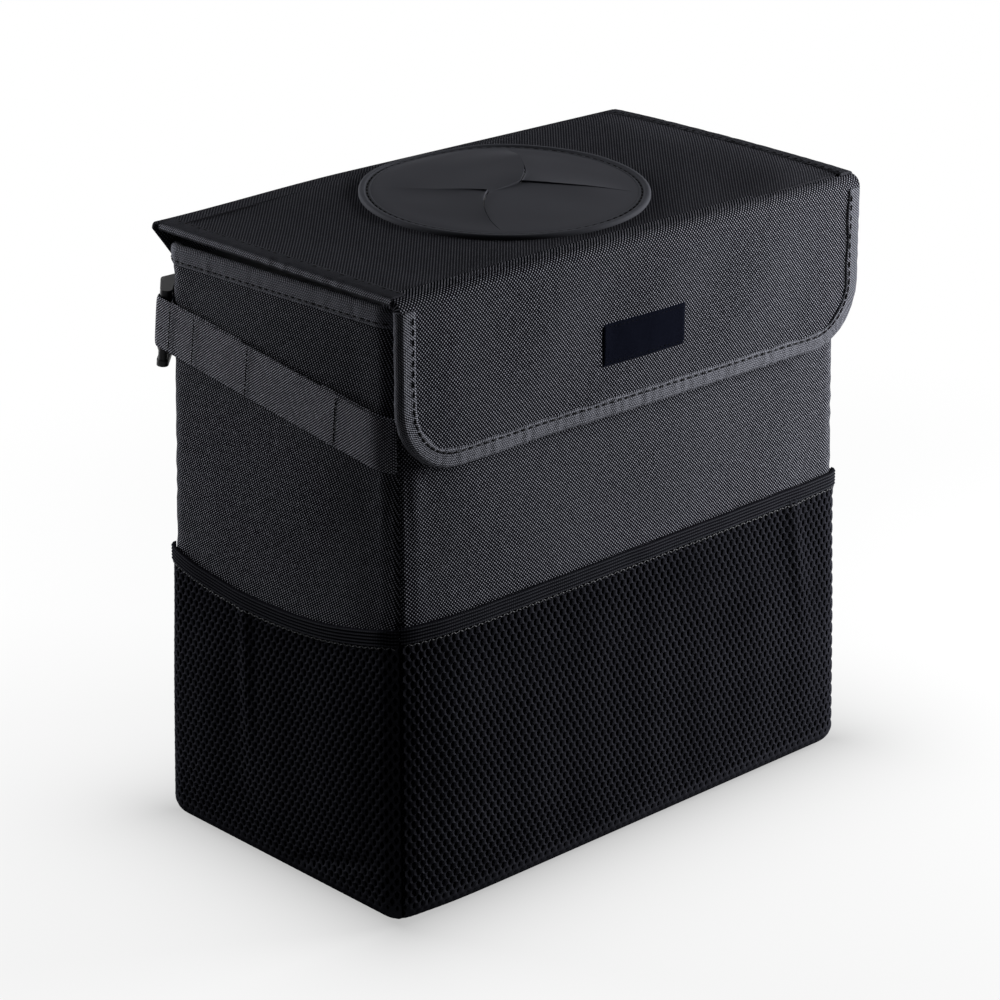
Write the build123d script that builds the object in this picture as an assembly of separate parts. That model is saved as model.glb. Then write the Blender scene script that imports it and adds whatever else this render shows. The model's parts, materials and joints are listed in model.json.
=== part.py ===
from build123d import *
import math
import os

os.makedirs("parts", exist_ok=True)

# Body sizes
bin_width = 257.0
bin_depth = 143.0
rim_height = 256.0
corner_radius = 12.0
base_edge_radius = 9.0
fabric_thickness = 1.0
liner_thickness = 0.5
layer_clearance = 0.1

# Sewn corner seams
seam_groove_radius = 1.5
seam_groove_depth = 0.6
seam_gap = 0.6

# Stiffening boards
wall_board_thickness = 1.6
wall_board_corner = 6.0
wall_board_top_margin = 6.0
base_board_thickness = 2.0
base_board_inset = 9.0
base_board_corner = 12.0

# Tape that binds the rim
rim_tape_thickness = 0.8
rim_tape_height = 8.0

# Mesh pockets
pocket_gap = 0.3
mesh_thickness = 1.6
mesh_foot = 1.0
hem_height = 7.0
hem_thickness = 2.4
hem_top = 130.0
front_hem_dip = 0.5
side_hem_dip = 10.0
hem_rib_count = 5
hem_groove_depth = 0.3
hem_groove_height = 0.45
mesh_hole_width = 9.0
mesh_hole_height = 7.4
mesh_pitch_across = 16.5
mesh_pitch_up = 10.4
mesh_border = 9.0

# Lid and flap, built on two fold lines
lid_side_overhang = 3.5
panel_thickness = 3.8
panel_fabric = 1.0
panel_lining = 0.6
panel_layer_clearance = 0.05
binding_thickness = 0.7
binding_width = 8.0
fold_clearance = 0.3
front_fold_reach = 3.7
front_fold_lift = 6.0
rear_fold_reach = 0.2
rear_fold_lift = 6.8
board_edge_margin = 3.0
flap_drop = 70.5
flap_corner_radius = 29.0

# Strip of fabric that hangs the lid on the back wall
hinge_strip_drop = 27.0
hinge_strip_taper = 19.0

# Petal disc in the lid
disc_radius = 61.0
disc_shift_back = 4.5
disc_bead_width = 3.0
disc_bead_height = 2.4
disc_bead_round = 0.7
disc_sheet = 1.2
disc_seam_width = 0.8
disc_seam_depth = 0.4
port_radius = 55.0
slit_reach = 53.0
slit_width = 0.8
slit_bow = 4.0
centre_slit_length = 19.0

# Label and hook tabs on the flap
label_width = 47.0
label_height = 17.5
label_thickness = 0.5
label_drop = 39.7
tab_width = 46.0
tab_height = 13.0
tab_thickness = 0.8
tab_corner = 2.0
tab_spacing = 140.0
tab_drop = 52.0

# Hanging strap, in a plane that rises towards the back
strap_width = 22.0
strap_thickness = 1.5
strap_gap = 0.3
strap_slope = 7.5
strap_back_height = 222.0
strap_front_run = 131.0
strap_front_fold = 30.0
strap_return = 52.0
strap_return_end = 6.0
strap_back_reach = 9.0
strap_corner_reach = 0.6
strap_bend_radius = 10.0

# Side release buckle
bar_radius = 2.0
bar_clearance = 0.3
buckle_height = 34.0
buckle_sag = 3.0
rail_thickness = 2.5
rail_depth = 5.0
socket_length = 26.0
socket_depth = 8.6
socket_wall = 1.5
socket_start = 7.0
window_start = 7.0
window_length = 10.0
tongue_clearance = 0.4
tongue_base = 5.5
arm_thickness = 3.4
arm_length = 22.0
barb_length = 8.0
guide_thickness = 3.0
guide_share = 0.7
bar_spacing = 48.0

# Three bar slide on the strap
slide_length = 22.0
slide_bar = 2.6
slide_place = 46.0
slide_clearance = 0.3
slide_bar_share = 0.86
slide_round_share = 0.9

wall_stack = fabric_thickness + wall_board_thickness + liner_thickness + 2 * layer_clearance
wall_top = rim_height - rim_tape_thickness - layer_clearance
floor_top = fabric_thickness + layer_clearance + base_board_thickness + layer_clearance
hem_low = hem_top - hem_height
half_width = bin_width / 2
half_depth = bin_depth / 2
lid_width = bin_width + 2 * lid_side_overhang

fold_half = panel_thickness / 2
front_fold_y = -half_depth - front_fold_reach
front_fold_z = rim_height + front_fold_lift
rear_fold_y = half_depth + rear_fold_reach
rear_fold_z = rim_height + rear_fold_lift
lid_rise = rear_fold_z - front_fold_z
lid_run = rear_fold_y - front_fold_y
lid_depth = math.hypot(lid_rise, lid_run)
lid_slope = math.degrees(math.atan2(lid_rise, lid_run))
panel_half_width = lid_width / 2 - binding_thickness
panel_start = fold_half + fold_clearance
binding_start = fold_half + binding_thickness + fold_clearance
disc_centre = (disc_shift_back - front_fold_y) / math.cos(math.radians(lid_slope))
chord = slit_reach / math.sqrt(2)

lid_place = Location((0, front_fold_y, front_fold_z), (lid_slope, 0, 0))
flap_place = Location((0, front_fold_y, front_fold_z))
strap_place = Location((0, half_depth, strap_back_height), (strap_slope, 0, 0))
buckle_place = strap_place * Location((0, 0, -buckle_sag))


def column(width, depth, corner, bottom, low, high):
    """Upright block with rounded corners and a rounded bottom edge."""
    block = extrude(Pos(0, 0, low) * RectangleRounded(width, depth, corner), high - low)
    return fillet(block.faces().sort_by(Axis.Z)[0].edges(), bottom)


def ring(outer_offset, inner_offset, low, high):
    """Upright band between two offsets from the outside of the body."""
    outer = RectangleRounded(
        bin_width + 2 * outer_offset,
        bin_depth + 2 * outer_offset,
        corner_radius + outer_offset,
    )
    inner = RectangleRounded(
        bin_width + 2 * inner_offset,
        bin_depth + 2 * inner_offset,
        corner_radius + inner_offset,
    )
    return extrude(Pos(0, 0, low) * (outer - inner), high - low)


def make_outer_shell():
    """Woven walls and floor in one sewn piece, with a seam down each corner."""
    outside = column(bin_width, bin_depth, corner_radius, base_edge_radius, 0, wall_top)
    inside = column(
        bin_width - 2 * fabric_thickness,
        bin_depth - 2 * fabric_thickness,
        corner_radius - fabric_thickness,
        base_edge_radius - fabric_thickness,
        fabric_thickness,
        wall_top + 1,
    )
    shell = outside - inside
    groove_centre = corner_radius - seam_groove_depth + seam_groove_radius
    diagonal = groove_centre / math.sqrt(2)
    for side in (-1, 1):
        for end in (-1, 1):
            x = side * (half_width - corner_radius + diagonal)
            y = end * (half_depth - corner_radius + diagonal)
            groove = Cylinder(
                seam_groove_radius,
                wall_top,
                align=(Align.CENTER, Align.CENTER, Align.MIN),
            )
            shell -= Pos(x, y, base_edge_radius) * groove
    return shell


def make_inner_liner():
    """Waterproof film that lines the boards."""
    outer_inset = wall_stack - liner_thickness
    outside = column(
        bin_width - 2 * outer_inset,
        bin_depth - 2 * outer_inset,
        corner_radius - outer_inset,
        base_edge_radius - outer_inset,
        floor_top,
        wall_top,
    )
    inside = column(
        bin_width - 2 * wall_stack,
        bin_depth - 2 * wall_stack,
        corner_radius - wall_stack,
        base_edge_radius - wall_stack,
        floor_top + liner_thickness,
        wall_top + 1,
    )
    return outside - inside


def wall_board(span):
    """Outline of a flat wall board, centred on its own height."""
    height = wall_top - wall_board_top_margin - base_edge_radius
    return RectangleRounded(span, height, wall_board_corner)


board_middle = (wall_top - wall_board_top_margin + base_edge_radius) / 2
board_inset = fabric_thickness + layer_clearance + wall_board_thickness / 2
front_span = bin_width - 2 * corner_radius - 2 * layer_clearance
side_span = bin_depth - 2 * corner_radius - 2 * layer_clearance


def make_front_board(end):
    """Board in the front wall for -1 and in the back wall for 1."""
    place = Plane.XZ * Pos(0, board_middle, -end * (half_depth - board_inset))
    return extrude(place * wall_board(front_span), wall_board_thickness / 2, both=True)


def make_side_board(side):
    """Board in the left wall for -1 and in the right wall for 1."""
    place = Plane.YZ * Pos(0, board_middle, side * (half_width - board_inset))
    return extrude(place * wall_board(side_span), wall_board_thickness / 2, both=True)


def make_base_board():
    """Floor board that lies on the woven floor."""
    outline = RectangleRounded(
        bin_width - 2 * base_board_inset,
        bin_depth - 2 * base_board_inset,
        base_board_corner,
    )
    place = Pos(0, 0, fabric_thickness + layer_clearance)
    return extrude(place * outline, base_board_thickness)


def make_rim_binding():
    """Folded tape that straddles the rim."""
    out = layer_clearance + rim_tape_thickness
    low = rim_height - rim_tape_height
    tape = ring(out, -wall_stack - out, low, rim_height)
    slot = ring(
        layer_clearance,
        -wall_stack - layer_clearance,
        low - 1,
        rim_height - rim_tape_thickness,
    )
    return tape - slot


def sector(face):
    """Wedge that keeps one face of a band between its two corner seams."""
    reach = corner_radius + 20
    seam = seam_gap / math.sqrt(2)
    if face == "front":
        inner_x = half_width - corner_radius - seam
        inner_y = corner_radius - half_depth
        corners = [
            (-inner_x, inner_y),
            (-inner_x - reach, inner_y - reach),
            (inner_x + reach, inner_y - reach),
            (inner_x, inner_y),
        ]
    else:
        side = -1 if face == "left" else 1
        inner_x = side * (half_width - corner_radius)
        outer_x = inner_x + side * reach
        inner_y = half_depth - corner_radius - seam
        corners = [
            (inner_x, -inner_y),
            (outer_x, -inner_y - reach),
            (outer_x, inner_y + reach),
            (inner_x, inner_y),
        ]
    outline = make_face(Polyline(*corners, close=True))
    return extrude(outline, rim_height)


def hem_slab(face, low, high):
    """Slab between two heights whose middle hangs lower, as slack hems do."""
    dip = front_hem_dip if face == "front" else side_hem_dip
    half = half_width if face == "front" else half_depth
    half += corner_radius
    lower = ThreePointArc((-half, low), (0, low - dip), (half, low))
    upper = ThreePointArc((half, high), (0, high - dip), (-half, high))
    right = Line((half, low), (half, high))
    left = Line((-half, high), (-half, low))
    plane = Plane.XZ if face == "front" else Plane.YZ
    return extrude(plane * make_face([lower, right, upper, left]), bin_width, both=True)


def mesh_holes(face):
    """Rows of diamond holes, each row set half a pitch from the next."""
    span = front_span if face == "front" else side_span
    dip = front_hem_dip if face == "front" else side_hem_dip
    low = base_edge_radius + mesh_hole_height / 2 + 2
    high = hem_low - dip - mesh_hole_height / 2 - 2
    rows = int((high - low) / mesh_pitch_up) + 1
    pitch_up = (high - low) / (rows - 1)
    half = (span - mesh_border) / 2
    columns = int(2 * half / mesh_pitch_across)
    pitch = 2 * half / columns
    diamond = Polygon(
        (-mesh_hole_width / 2, 0),
        (0, -mesh_hole_height / 2),
        (mesh_hole_width / 2, 0),
        (0, mesh_hole_height / 2),
    )
    holes = []
    for row in range(rows):
        shift = pitch / 2 if row % 2 else 0.0
        count = columns if row % 2 else columns + 1
        for column_index in range(count):
            x = -half + shift + column_index * pitch
            holes.append(Pos(x, low + row * pitch_up) * diamond)
    plane = Plane.XZ if face == "front" else Plane.YZ
    return extrude(plane * Sketch(children=holes), bin_width, both=True)


def make_pocket_mesh(face):
    """Net panel that runs from one corner seam round to the next."""
    out = pocket_gap + mesh_thickness
    outside = column(
        bin_width + 2 * out,
        bin_depth + 2 * out,
        corner_radius + out,
        base_edge_radius + out,
        -out,
        hem_top,
    )
    inside = column(
        bin_width + 2 * pocket_gap,
        bin_depth + 2 * pocket_gap,
        corner_radius + pocket_gap,
        base_edge_radius + pocket_gap,
        -pocket_gap,
        hem_top + 1,
    )
    wedge = sector(face) & Pos(0, 0, mesh_foot) * Box(
        4 * bin_width,
        4 * bin_depth,
        hem_top,
        align=(Align.CENTER, Align.CENTER, Align.MIN),
    )
    panel = (outside - inside) & wedge
    panel -= hem_slab(face, hem_low - layer_clearance, hem_top + side_hem_dip)
    return panel - (mesh_holes(face) & wedge)


def make_pocket_elastic(face):
    """Ribbed elastic band along the mouth of a pocket."""
    out = pocket_gap + hem_thickness
    low = hem_low - side_hem_dip - 1
    high = hem_top + 1
    wedge = sector(face)
    band = ring(out, pocket_gap, low, high) & wedge & hem_slab(face, hem_low, hem_top)
    skin = ring(out + 1, out - hem_groove_depth, low, high) & wedge
    for index in range(1, hem_rib_count):
        middle = hem_low + index * hem_height / hem_rib_count
        groove = hem_slab(
            face,
            middle - hem_groove_height / 2,
            middle + hem_groove_height / 2,
        )
        band -= skin & groove
    return band


def panel_plate(start, end, half, low, high):
    """Flat layer of the lid, with the round port through it."""
    plate = Pos(0, (start + end) / 2, (low + high) / 2) * Box(2 * half, end - start, high - low)
    return plate - Pos(0, disc_centre, 0) * Cylinder(port_radius, 10 * panel_thickness)


def make_lid_fabric():
    """Woven top of the lid, rolled into the front fold."""
    plate = panel_plate(
        0,
        lid_depth - panel_start,
        panel_half_width,
        fold_half - panel_fabric,
        fold_half,
    )
    roll = Rot(0, 90, 0) * Cylinder(fold_half, 2 * panel_half_width)
    return lid_place * (plate + roll)


def make_lid_board():
    """Stiff board inside the lid."""
    plate = panel_plate(
        panel_start,
        lid_depth - panel_start,
        panel_half_width - board_edge_margin,
        panel_lining + panel_layer_clearance - fold_half,
        fold_half - panel_fabric - panel_layer_clearance,
    )
    return lid_place * plate


def make_lid_lining():
    """Smooth lining under the lid."""
    plate = panel_plate(
        panel_start,
        lid_depth - panel_start,
        panel_half_width,
        -fold_half,
        panel_lining - fold_half,
    )
    return lid_place * plate


def make_lid_binding():
    """Folded tape along the two side edges of the lid."""
    length = lid_depth - 2 * binding_start
    outer = Box(binding_width, length, panel_thickness + 2 * binding_thickness)
    slot = Pos(-binding_thickness, 0, 0) * Box(binding_width, length, panel_thickness)
    right = Pos(lid_width / 2 - binding_width / 2, lid_depth / 2, 0) * (outer - slot)
    return lid_place * Compound(children=[right, mirror(right, Plane.YZ)])


def make_petal_disc():
    """Moulded rim of the petal disc, with a bead and a sewing groove."""
    sheet = Circle(disc_radius) - Rectangle(2 * chord, 2 * chord)
    bead_inside = disc_radius - disc_bead_width
    bead = Circle(disc_radius) - Circle(bead_inside)
    seam = Circle(bead_inside) - Circle(bead_inside - disc_seam_width)
    rim = extrude(sheet, disc_sheet) + extrude(bead, disc_bead_height)
    top_edges = rim.edges().filter_by(GeomType.CIRCLE).group_by(Axis.Z)[-1]
    rim = fillet(top_edges, disc_bead_round)
    rim -= Pos(0, 0, disc_sheet - disc_seam_depth) * extrude(seam, disc_seam_depth)
    return lid_place * Pos(0, disc_centre, fold_half + panel_layer_clearance) * rim


def slit_point(side, end):
    """Middle of one curved slit, bowed towards the side petals."""
    tip = centre_slit_length / 2
    run = chord - tip
    length = math.hypot(run, chord)
    x = (chord + tip) / 2 + slit_bow * chord / length
    y = chord / 2 - slit_bow * run / length
    return (side * x, end * y)


def make_petal(name):
    """One bending leaf of the disc, from its bending line to the centre."""
    tip = centre_slit_length / 2
    if name in ("front", "back"):
        end = -1 if name == "front" else 1
        edges = [
            ThreePointArc((-chord, end * chord), slit_point(-1, end), (-tip, 0)),
            Line((-tip, 0), (tip, 0)),
            ThreePointArc((tip, 0), slit_point(1, end), (chord, end * chord)),
            Line((chord, end * chord), (-chord, end * chord)),
        ]
    else:
        side = -1 if name == "left" else 1
        edges = [
            ThreePointArc((side * chord, -chord), slit_point(side, -1), (side * tip, 0)),
            ThreePointArc((side * tip, 0), slit_point(side, 1), (side * chord, chord)),
            Line((side * chord, chord), (side * chord, -chord)),
        ]
    leaf = offset(make_face(edges), -slit_width / 2, kind=Kind.INTERSECTION)
    place = Pos(0, disc_centre, fold_half + panel_layer_clearance)
    return lid_place * place * extrude(leaf, disc_sheet)


def flap_outline(inset, top):
    """Front flap seen from the front, square above and rounded below."""
    half = lid_width / 2 - inset
    low = inset - flap_drop
    radius = flap_corner_radius - inset
    square = Pos(0, (low - top) / 2) * Rectangle(2 * half, -low - top)
    lower = square.vertices().group_by(Axis.Y)[0]
    return fillet(lower, radius)


def flap_layer(inset, top, near, far):
    """Layer of the flap between two distances from the fold, outside first."""
    outline = Plane.XZ * Pos(0, 0, -far) * flap_outline(inset, top)
    return flap_place * extrude(outline, far - near)


def make_flap_fabric():
    """Woven outside of the flap."""
    return flap_layer(binding_thickness, panel_start, -fold_half, panel_fabric - fold_half)


def make_flap_board():
    """Stiff board inside the flap."""
    return flap_layer(
        binding_thickness + board_edge_margin,
        panel_start,
        panel_fabric + panel_layer_clearance - fold_half,
        fold_half - panel_lining - panel_layer_clearance,
    )


def make_flap_lining():
    """Smooth inside of the flap."""
    return flap_layer(binding_thickness, panel_start, fold_half - panel_lining, fold_half)


def make_flap_binding():
    """Folded tape round the sides and the bottom of the flap."""
    face = fold_half + binding_thickness
    outer = flap_layer(0, binding_start, -face, face)
    window = flap_layer(binding_width, 0, -2 * face, 2 * face)
    slot = flap_layer(binding_thickness, 0, -fold_half, fold_half)
    return outer - window - slot


def make_flap_label():
    """Blank woven label sewn on the flap."""
    outline = Plane.XZ * Pos(0, -label_drop, fold_half) * Rectangle(label_width, label_height)
    return flap_place * extrude(outline, label_thickness)


def make_tabs(start):
    """Pair of closing tabs that begins at a distance from the front fold."""
    tabs = []
    for side in (-1, 1):
        place = Plane.XZ * Pos(side * tab_spacing / 2, -tab_drop, -start)
        outline = place * RectangleRounded(tab_width, tab_height, tab_corner)
        tabs.append(flap_place * extrude(outline, -tab_thickness))
    return Compound(children=tabs)


def make_hinge_strip():
    """Woven strip sewn to the back wall, rolled into the rear fold."""
    top = panel_half_width
    low = panel_half_width - hinge_strip_taper
    corners = [(-top, 0), (-low, -hinge_strip_drop), (low, -hinge_strip_drop), (top, 0)]
    face = Plane.XZ * Pos(0, 0, -fold_half) * make_face(Polyline(*corners, close=True))
    sheet = extrude(face, panel_fabric)
    roll = Rot(0, 90, 0) * Cylinder(fold_half, 2 * panel_half_width)
    return Pos(0, rear_fold_y, rear_fold_z) * (sheet + roll)


strap_inside = half_width + strap_gap
strap_outside = strap_inside + 2 * strap_thickness
loop_inner = bar_radius + bar_clearance
loop_outer = loop_inner + strap_thickness
bar_x = strap_outside - loop_outer
tongue_bar_x = bar_spacing - bar_x
strap_back_outside = strap_back_reach + loop_outer


def webbing(x0, x1, u0, u1):
    """Straight length of strap in the strap's own plan."""
    block = Box(abs(x1 - x0), abs(u1 - u0), strap_width)
    return Pos((x0 + x1) / 2, (u0 + u1) / 2, 0) * block


def webbing_link(start, end):
    """Slanted length of strap between two points of the plan."""
    outline = trace(Line(start, end), strap_thickness)
    return extrude(outline, strap_width / 2, both=True)


def strap_loop(x, u, facing):
    """Half turn of strap round a buckle bar, facing along the plan."""
    turn = Circle(loop_outer) - Circle(loop_inner)
    half = turn & Rot(0, 0, facing) * Pos(loop_outer, 0) * Rectangle(2 * loop_outer, 4 * loop_outer)
    return extrude(Pos(x, u) * half, strap_width / 2, both=True)


def strap_side(side):
    """Strap along one side wall, with its front end turned under."""
    run = webbing(
        side * strap_outside,
        side * (strap_outside - strap_thickness),
        -strap_front_run,
        0,
    )
    fold = webbing(
        side * (strap_inside + strap_thickness),
        side * strap_inside,
        -strap_front_run,
        strap_front_fold - strap_front_run,
    )
    return run + fold


def make_left_strap():
    """Short strap from the left wall to the socket of the buckle."""
    run = webbing(-strap_outside, strap_thickness - strap_outside, -1, strap_corner_reach)
    back = webbing(
        -strap_inside - strap_thickness,
        -strap_inside,
        -strap_return,
        -strap_return_end,
    )
    middle = loop_inner + strap_thickness / 2
    start_x = -strap_inside - strap_thickness / 2
    start_u = -strap_return_end - strap_thickness / 2
    across = start_x + bar_x
    along = start_u - strap_corner_reach
    lean = math.atan2(along, across) + math.acos(middle / math.hypot(across, along))
    touch_x = middle * math.cos(lean) - bar_x
    touch_u = middle * math.sin(lean) + strap_corner_reach
    link = webbing_link((start_x, start_u), (touch_x, touch_u))
    loop = strap_loop(-bar_x, strap_corner_reach, 90)
    loop += strap_loop(-bar_x, strap_corner_reach, 90 + math.degrees(lean))
    return strap_place * (strap_side(-1) + run + back + link + loop)


def make_rear_strap():
    """Long strap from the right wall round the back to the tongue."""
    straight = strap_back_outside - strap_bend_radius
    run = webbing(strap_outside - strap_thickness, strap_outside, -1, straight)
    bend_x = strap_outside - strap_bend_radius
    turn = Circle(strap_bend_radius) - Circle(strap_bend_radius - strap_thickness)
    turn &= Pos(strap_bend_radius, strap_bend_radius) * Rectangle(
        2 * strap_bend_radius, 2 * strap_bend_radius
    )
    bend = extrude(Pos(bend_x, straight) * turn, strap_width / 2, both=True)
    inside = strap_back_outside - strap_thickness
    back = webbing(tongue_bar_x, bend_x, inside, strap_back_outside)
    double_start = tongue_bar_x + 0.5 * (slide_place - bar_clearance)
    double_end = tongue_bar_x + slide_place + slide_length / 2
    under = webbing(double_start, double_end, inside - strap_thickness, inside)
    middle = loop_inner + strap_thickness / 2
    link = webbing_link(
        (tongue_bar_x, strap_back_reach - middle),
        (double_start + strap_thickness / 2, inside - strap_thickness / 2),
    )
    loop = strap_loop(tongue_bar_x, strap_back_reach, 180)
    whole = strap_side(1) + run + bend + back + under + link + loop
    return strap_place * whole


def bar_frame(x, u, reach):
    """Round bar and the two rails that carry it from the buckle's half, slanted in the plan if need be."""
    rail_middle = buckle_height / 2 - rail_thickness / 2
    frame = Pos(x, u, 0) * Cylinder(bar_radius, buckle_height - rail_thickness)
    rise = strap_back_reach - u
    slant = math.degrees(math.atan2(rise, reach))
    outline = Rot(0, 0, slant) * SlotCenterToCenter(math.hypot(reach, rise), rail_depth)
    for side in (-1, 1):
        rail = extrude(outline, rail_thickness / 2, both=True)
        frame += Pos(x + reach / 2, u + rise / 2, side * rail_middle) * rail
    return frame


def make_buckle_socket():
    """Socket half of the buckle, open at its mouth and at both sides."""
    low = socket_start - bar_x
    middle = low + socket_length / 2
    block = Pos(middle, strap_back_reach, 0) * Box(socket_length, socket_depth, buckle_height)
    block = fillet(block.edges().filter_by(Axis.X), socket_depth / 4)
    hollow = Box(
        socket_length,
        socket_depth - 2 * socket_wall,
        buckle_height - 2 * rail_thickness,
    )
    block -= Pos(middle + 2 * socket_wall, strap_back_reach, 0) * hollow
    window = Box(window_length, socket_depth - 2 * socket_wall, 2 * buckle_height)
    block -= Pos(low + window_start + window_length / 2, strap_back_reach, 0) * window
    frame = bar_frame(-bar_x, strap_corner_reach, socket_start + socket_wall)
    return buckle_place * (block + frame)


def make_buckle_tongue():
    """Tongue half of the buckle, with two barbed arms and a guide."""
    mouth = socket_start + socket_length - bar_x
    base_start = mouth + tongue_clearance
    base = Pos(base_start + tongue_base / 2, strap_back_reach, 0) * Box(
        tongue_base, socket_depth, buckle_height
    )
    base = fillet(base.edges().filter_by(Axis.X), socket_depth / 4)
    thickness = socket_depth - 2 * socket_wall - 2 * tongue_clearance
    cavity_half = buckle_height / 2 - rail_thickness
    arm_outside = cavity_half - tongue_clearance
    tip = base_start - arm_length
    barb_end = socket_start - bar_x + window_start + window_length - tongue_clearance
    root = base_start + 1
    corners = [
        (root, arm_outside - 1),
        (barb_end, arm_outside),
        (barb_end, buckle_height / 2 - tongue_clearance),
        (barb_end - barb_length, arm_outside),
        (tip, arm_outside - 3),
        (tip, arm_outside - 3 - arm_thickness),
        (barb_end, arm_outside - arm_thickness),
        (root, arm_outside - 1 - arm_thickness),
    ]
    arm_face = Plane.XZ * make_face(Polyline(*corners, close=True))
    arm = Pos(0, strap_back_reach, 0) * extrude(arm_face, thickness / 2, both=True)
    guide_length = arm_length * guide_share
    guide = Pos(root - guide_length / 2, strap_back_reach, 0) * Box(
        guide_length, thickness, guide_thickness
    )
    reach = base_start + tongue_base - tongue_bar_x
    frame = bar_frame(tongue_bar_x, strap_back_reach, reach)
    whole = base + arm + mirror(arm, Plane.XY) + guide + frame
    return buckle_place * whole


def make_strap_slide():
    """Three bar slide that holds the two layers of the long strap."""
    x = tongue_bar_x + slide_place
    outer_face = strap_back_outside + slide_clearance
    inner_face = strap_back_outside - 2 * strap_thickness - slide_clearance
    low = inner_face - slide_bar
    high = outer_face + slide_bar
    rail_inside = strap_width / 2 + slide_clearance
    rail_middle = rail_inside + rail_thickness / 2
    frame = Part()
    for side in (-1, 1):
        rail = Box(slide_length, high - low, rail_thickness)
        rail = fillet(rail.edges().filter_by(Axis.Z), slide_bar * slide_round_share)
        frame += Pos(x, (low + high) / 2, side * rail_middle) * rail
    bar_height = 2 * rail_inside + rail_thickness
    for end in (-1, 1):
        bar = Box(slide_bar, slide_bar, bar_height)
        place = end * (slide_length - slide_bar) / 2
        frame += Pos(x + place * slide_bar_share, low + slide_bar / 2, 0) * bar
    middle_bar = Box(2 * slide_bar, slide_bar, bar_height)
    frame += Pos(x, high - slide_bar / 2, 0) * middle_bar
    return strap_place * frame


nodes = {
    "outer_shell": make_outer_shell(),
    "inner_liner": make_inner_liner(),
    "front_board": make_front_board(-1),
    "back_board": make_front_board(1),
    "left_board": make_side_board(-1),
    "right_board": make_side_board(1),
    "base_board": make_base_board(),
    "rim_binding": make_rim_binding(),
    "front_pocket_mesh": make_pocket_mesh("front"),
    "left_pocket_mesh": make_pocket_mesh("left"),
    "right_pocket_mesh": make_pocket_mesh("right"),
    "front_pocket_elastic": make_pocket_elastic("front"),
    "left_pocket_elastic": make_pocket_elastic("left"),
    "right_pocket_elastic": make_pocket_elastic("right"),
    "left_strap": make_left_strap(),
    "rear_strap": make_rear_strap(),
    "buckle_socket": make_buckle_socket(),
    "buckle_tongue": make_buckle_tongue(),
    "strap_slide": make_strap_slide(),
    "hinge_strip": make_hinge_strip(),
    "lid_fabric": make_lid_fabric(),
    "lid_board": make_lid_board(),
    "lid_lining": make_lid_lining(),
    "lid_binding": make_lid_binding(),
    "petal_disc": make_petal_disc(),
    "front_petal": make_petal("front"),
    "back_petal": make_petal("back"),
    "left_petal": make_petal("left"),
    "right_petal": make_petal("right"),
    "flap_fabric": make_flap_fabric(),
    "flap_board": make_flap_board(),
    "flap_lining": make_flap_lining(),
    "flap_binding": make_flap_binding(),
    "flap_label": make_flap_label(),
    "flap_hook_tabs": make_tabs(fold_half + layer_clearance),
    "wall_loop_tabs": make_tabs(front_fold_reach - tab_thickness - layer_clearance),
}

for name, shape in nodes.items():
    export_step(shape, f"parts/{name}.step")
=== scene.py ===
"""Dresses the car trash bin: woven body, net pockets, webbing strap, lid, flap and petal port.

All sizes are in millimetres in this file, and a mesh is scaled to metres when it is made.
"""

from __future__ import annotations

import json
import logging
import math
from dataclasses import dataclass
from enum import Enum
from typing import NamedTuple

import bmesh
import bpy
import numpy as np
from mathutils import Matrix, Vector

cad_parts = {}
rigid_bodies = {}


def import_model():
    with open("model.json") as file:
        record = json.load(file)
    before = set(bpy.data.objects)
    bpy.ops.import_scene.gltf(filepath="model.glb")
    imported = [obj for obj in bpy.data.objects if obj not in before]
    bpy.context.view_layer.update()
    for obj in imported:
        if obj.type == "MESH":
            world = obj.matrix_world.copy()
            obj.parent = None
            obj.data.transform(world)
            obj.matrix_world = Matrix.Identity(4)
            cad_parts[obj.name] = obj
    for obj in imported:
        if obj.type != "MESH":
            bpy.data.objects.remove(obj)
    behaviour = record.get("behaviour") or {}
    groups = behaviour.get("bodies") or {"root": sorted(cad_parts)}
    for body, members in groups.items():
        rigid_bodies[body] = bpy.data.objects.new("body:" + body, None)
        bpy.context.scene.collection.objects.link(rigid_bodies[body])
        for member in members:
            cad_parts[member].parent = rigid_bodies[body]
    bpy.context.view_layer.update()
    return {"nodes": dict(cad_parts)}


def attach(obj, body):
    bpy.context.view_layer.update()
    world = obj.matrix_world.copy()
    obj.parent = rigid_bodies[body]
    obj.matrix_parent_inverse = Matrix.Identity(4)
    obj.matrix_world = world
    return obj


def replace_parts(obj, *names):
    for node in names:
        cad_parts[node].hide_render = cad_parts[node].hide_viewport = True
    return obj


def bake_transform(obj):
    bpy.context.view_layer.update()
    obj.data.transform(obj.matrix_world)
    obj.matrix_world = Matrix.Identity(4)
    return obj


MM = 0.001
WELD, SLIVER = 2e-6, 1e-7
WHITE = (1.0, 1.0, 1.0, 1.0)
TO_RIGHT, TO_BACK, UPWARD = np.eye(3)
BOARDS = ("front_board", "back_board", "left_board", "right_board", "base_board")
Array = np.ndarray
Node = bpy.types.Node
Socket = bpy.types.NodeSocket
Piece = bpy.types.Object
Material = bpy.types.Material
Colour = tuple[float, float, float]
LOG = logging.getLogger("car_trash_bin")


class Slot(Enum):
    """Material slots of the record, one for each kind of new piece."""

    SHELL = "shell_weave"
    LID = "lid_weave"
    LINER = "liner_film"
    TAPE = "edge_tape"
    NET = "pocket_net"
    HEM = "hem_elastic"
    STRAP = "strap_webbing"
    PETAL = "petal_rubber"
    LABEL = "label_cloth"
    CLOSING = "closing_tape"


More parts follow.
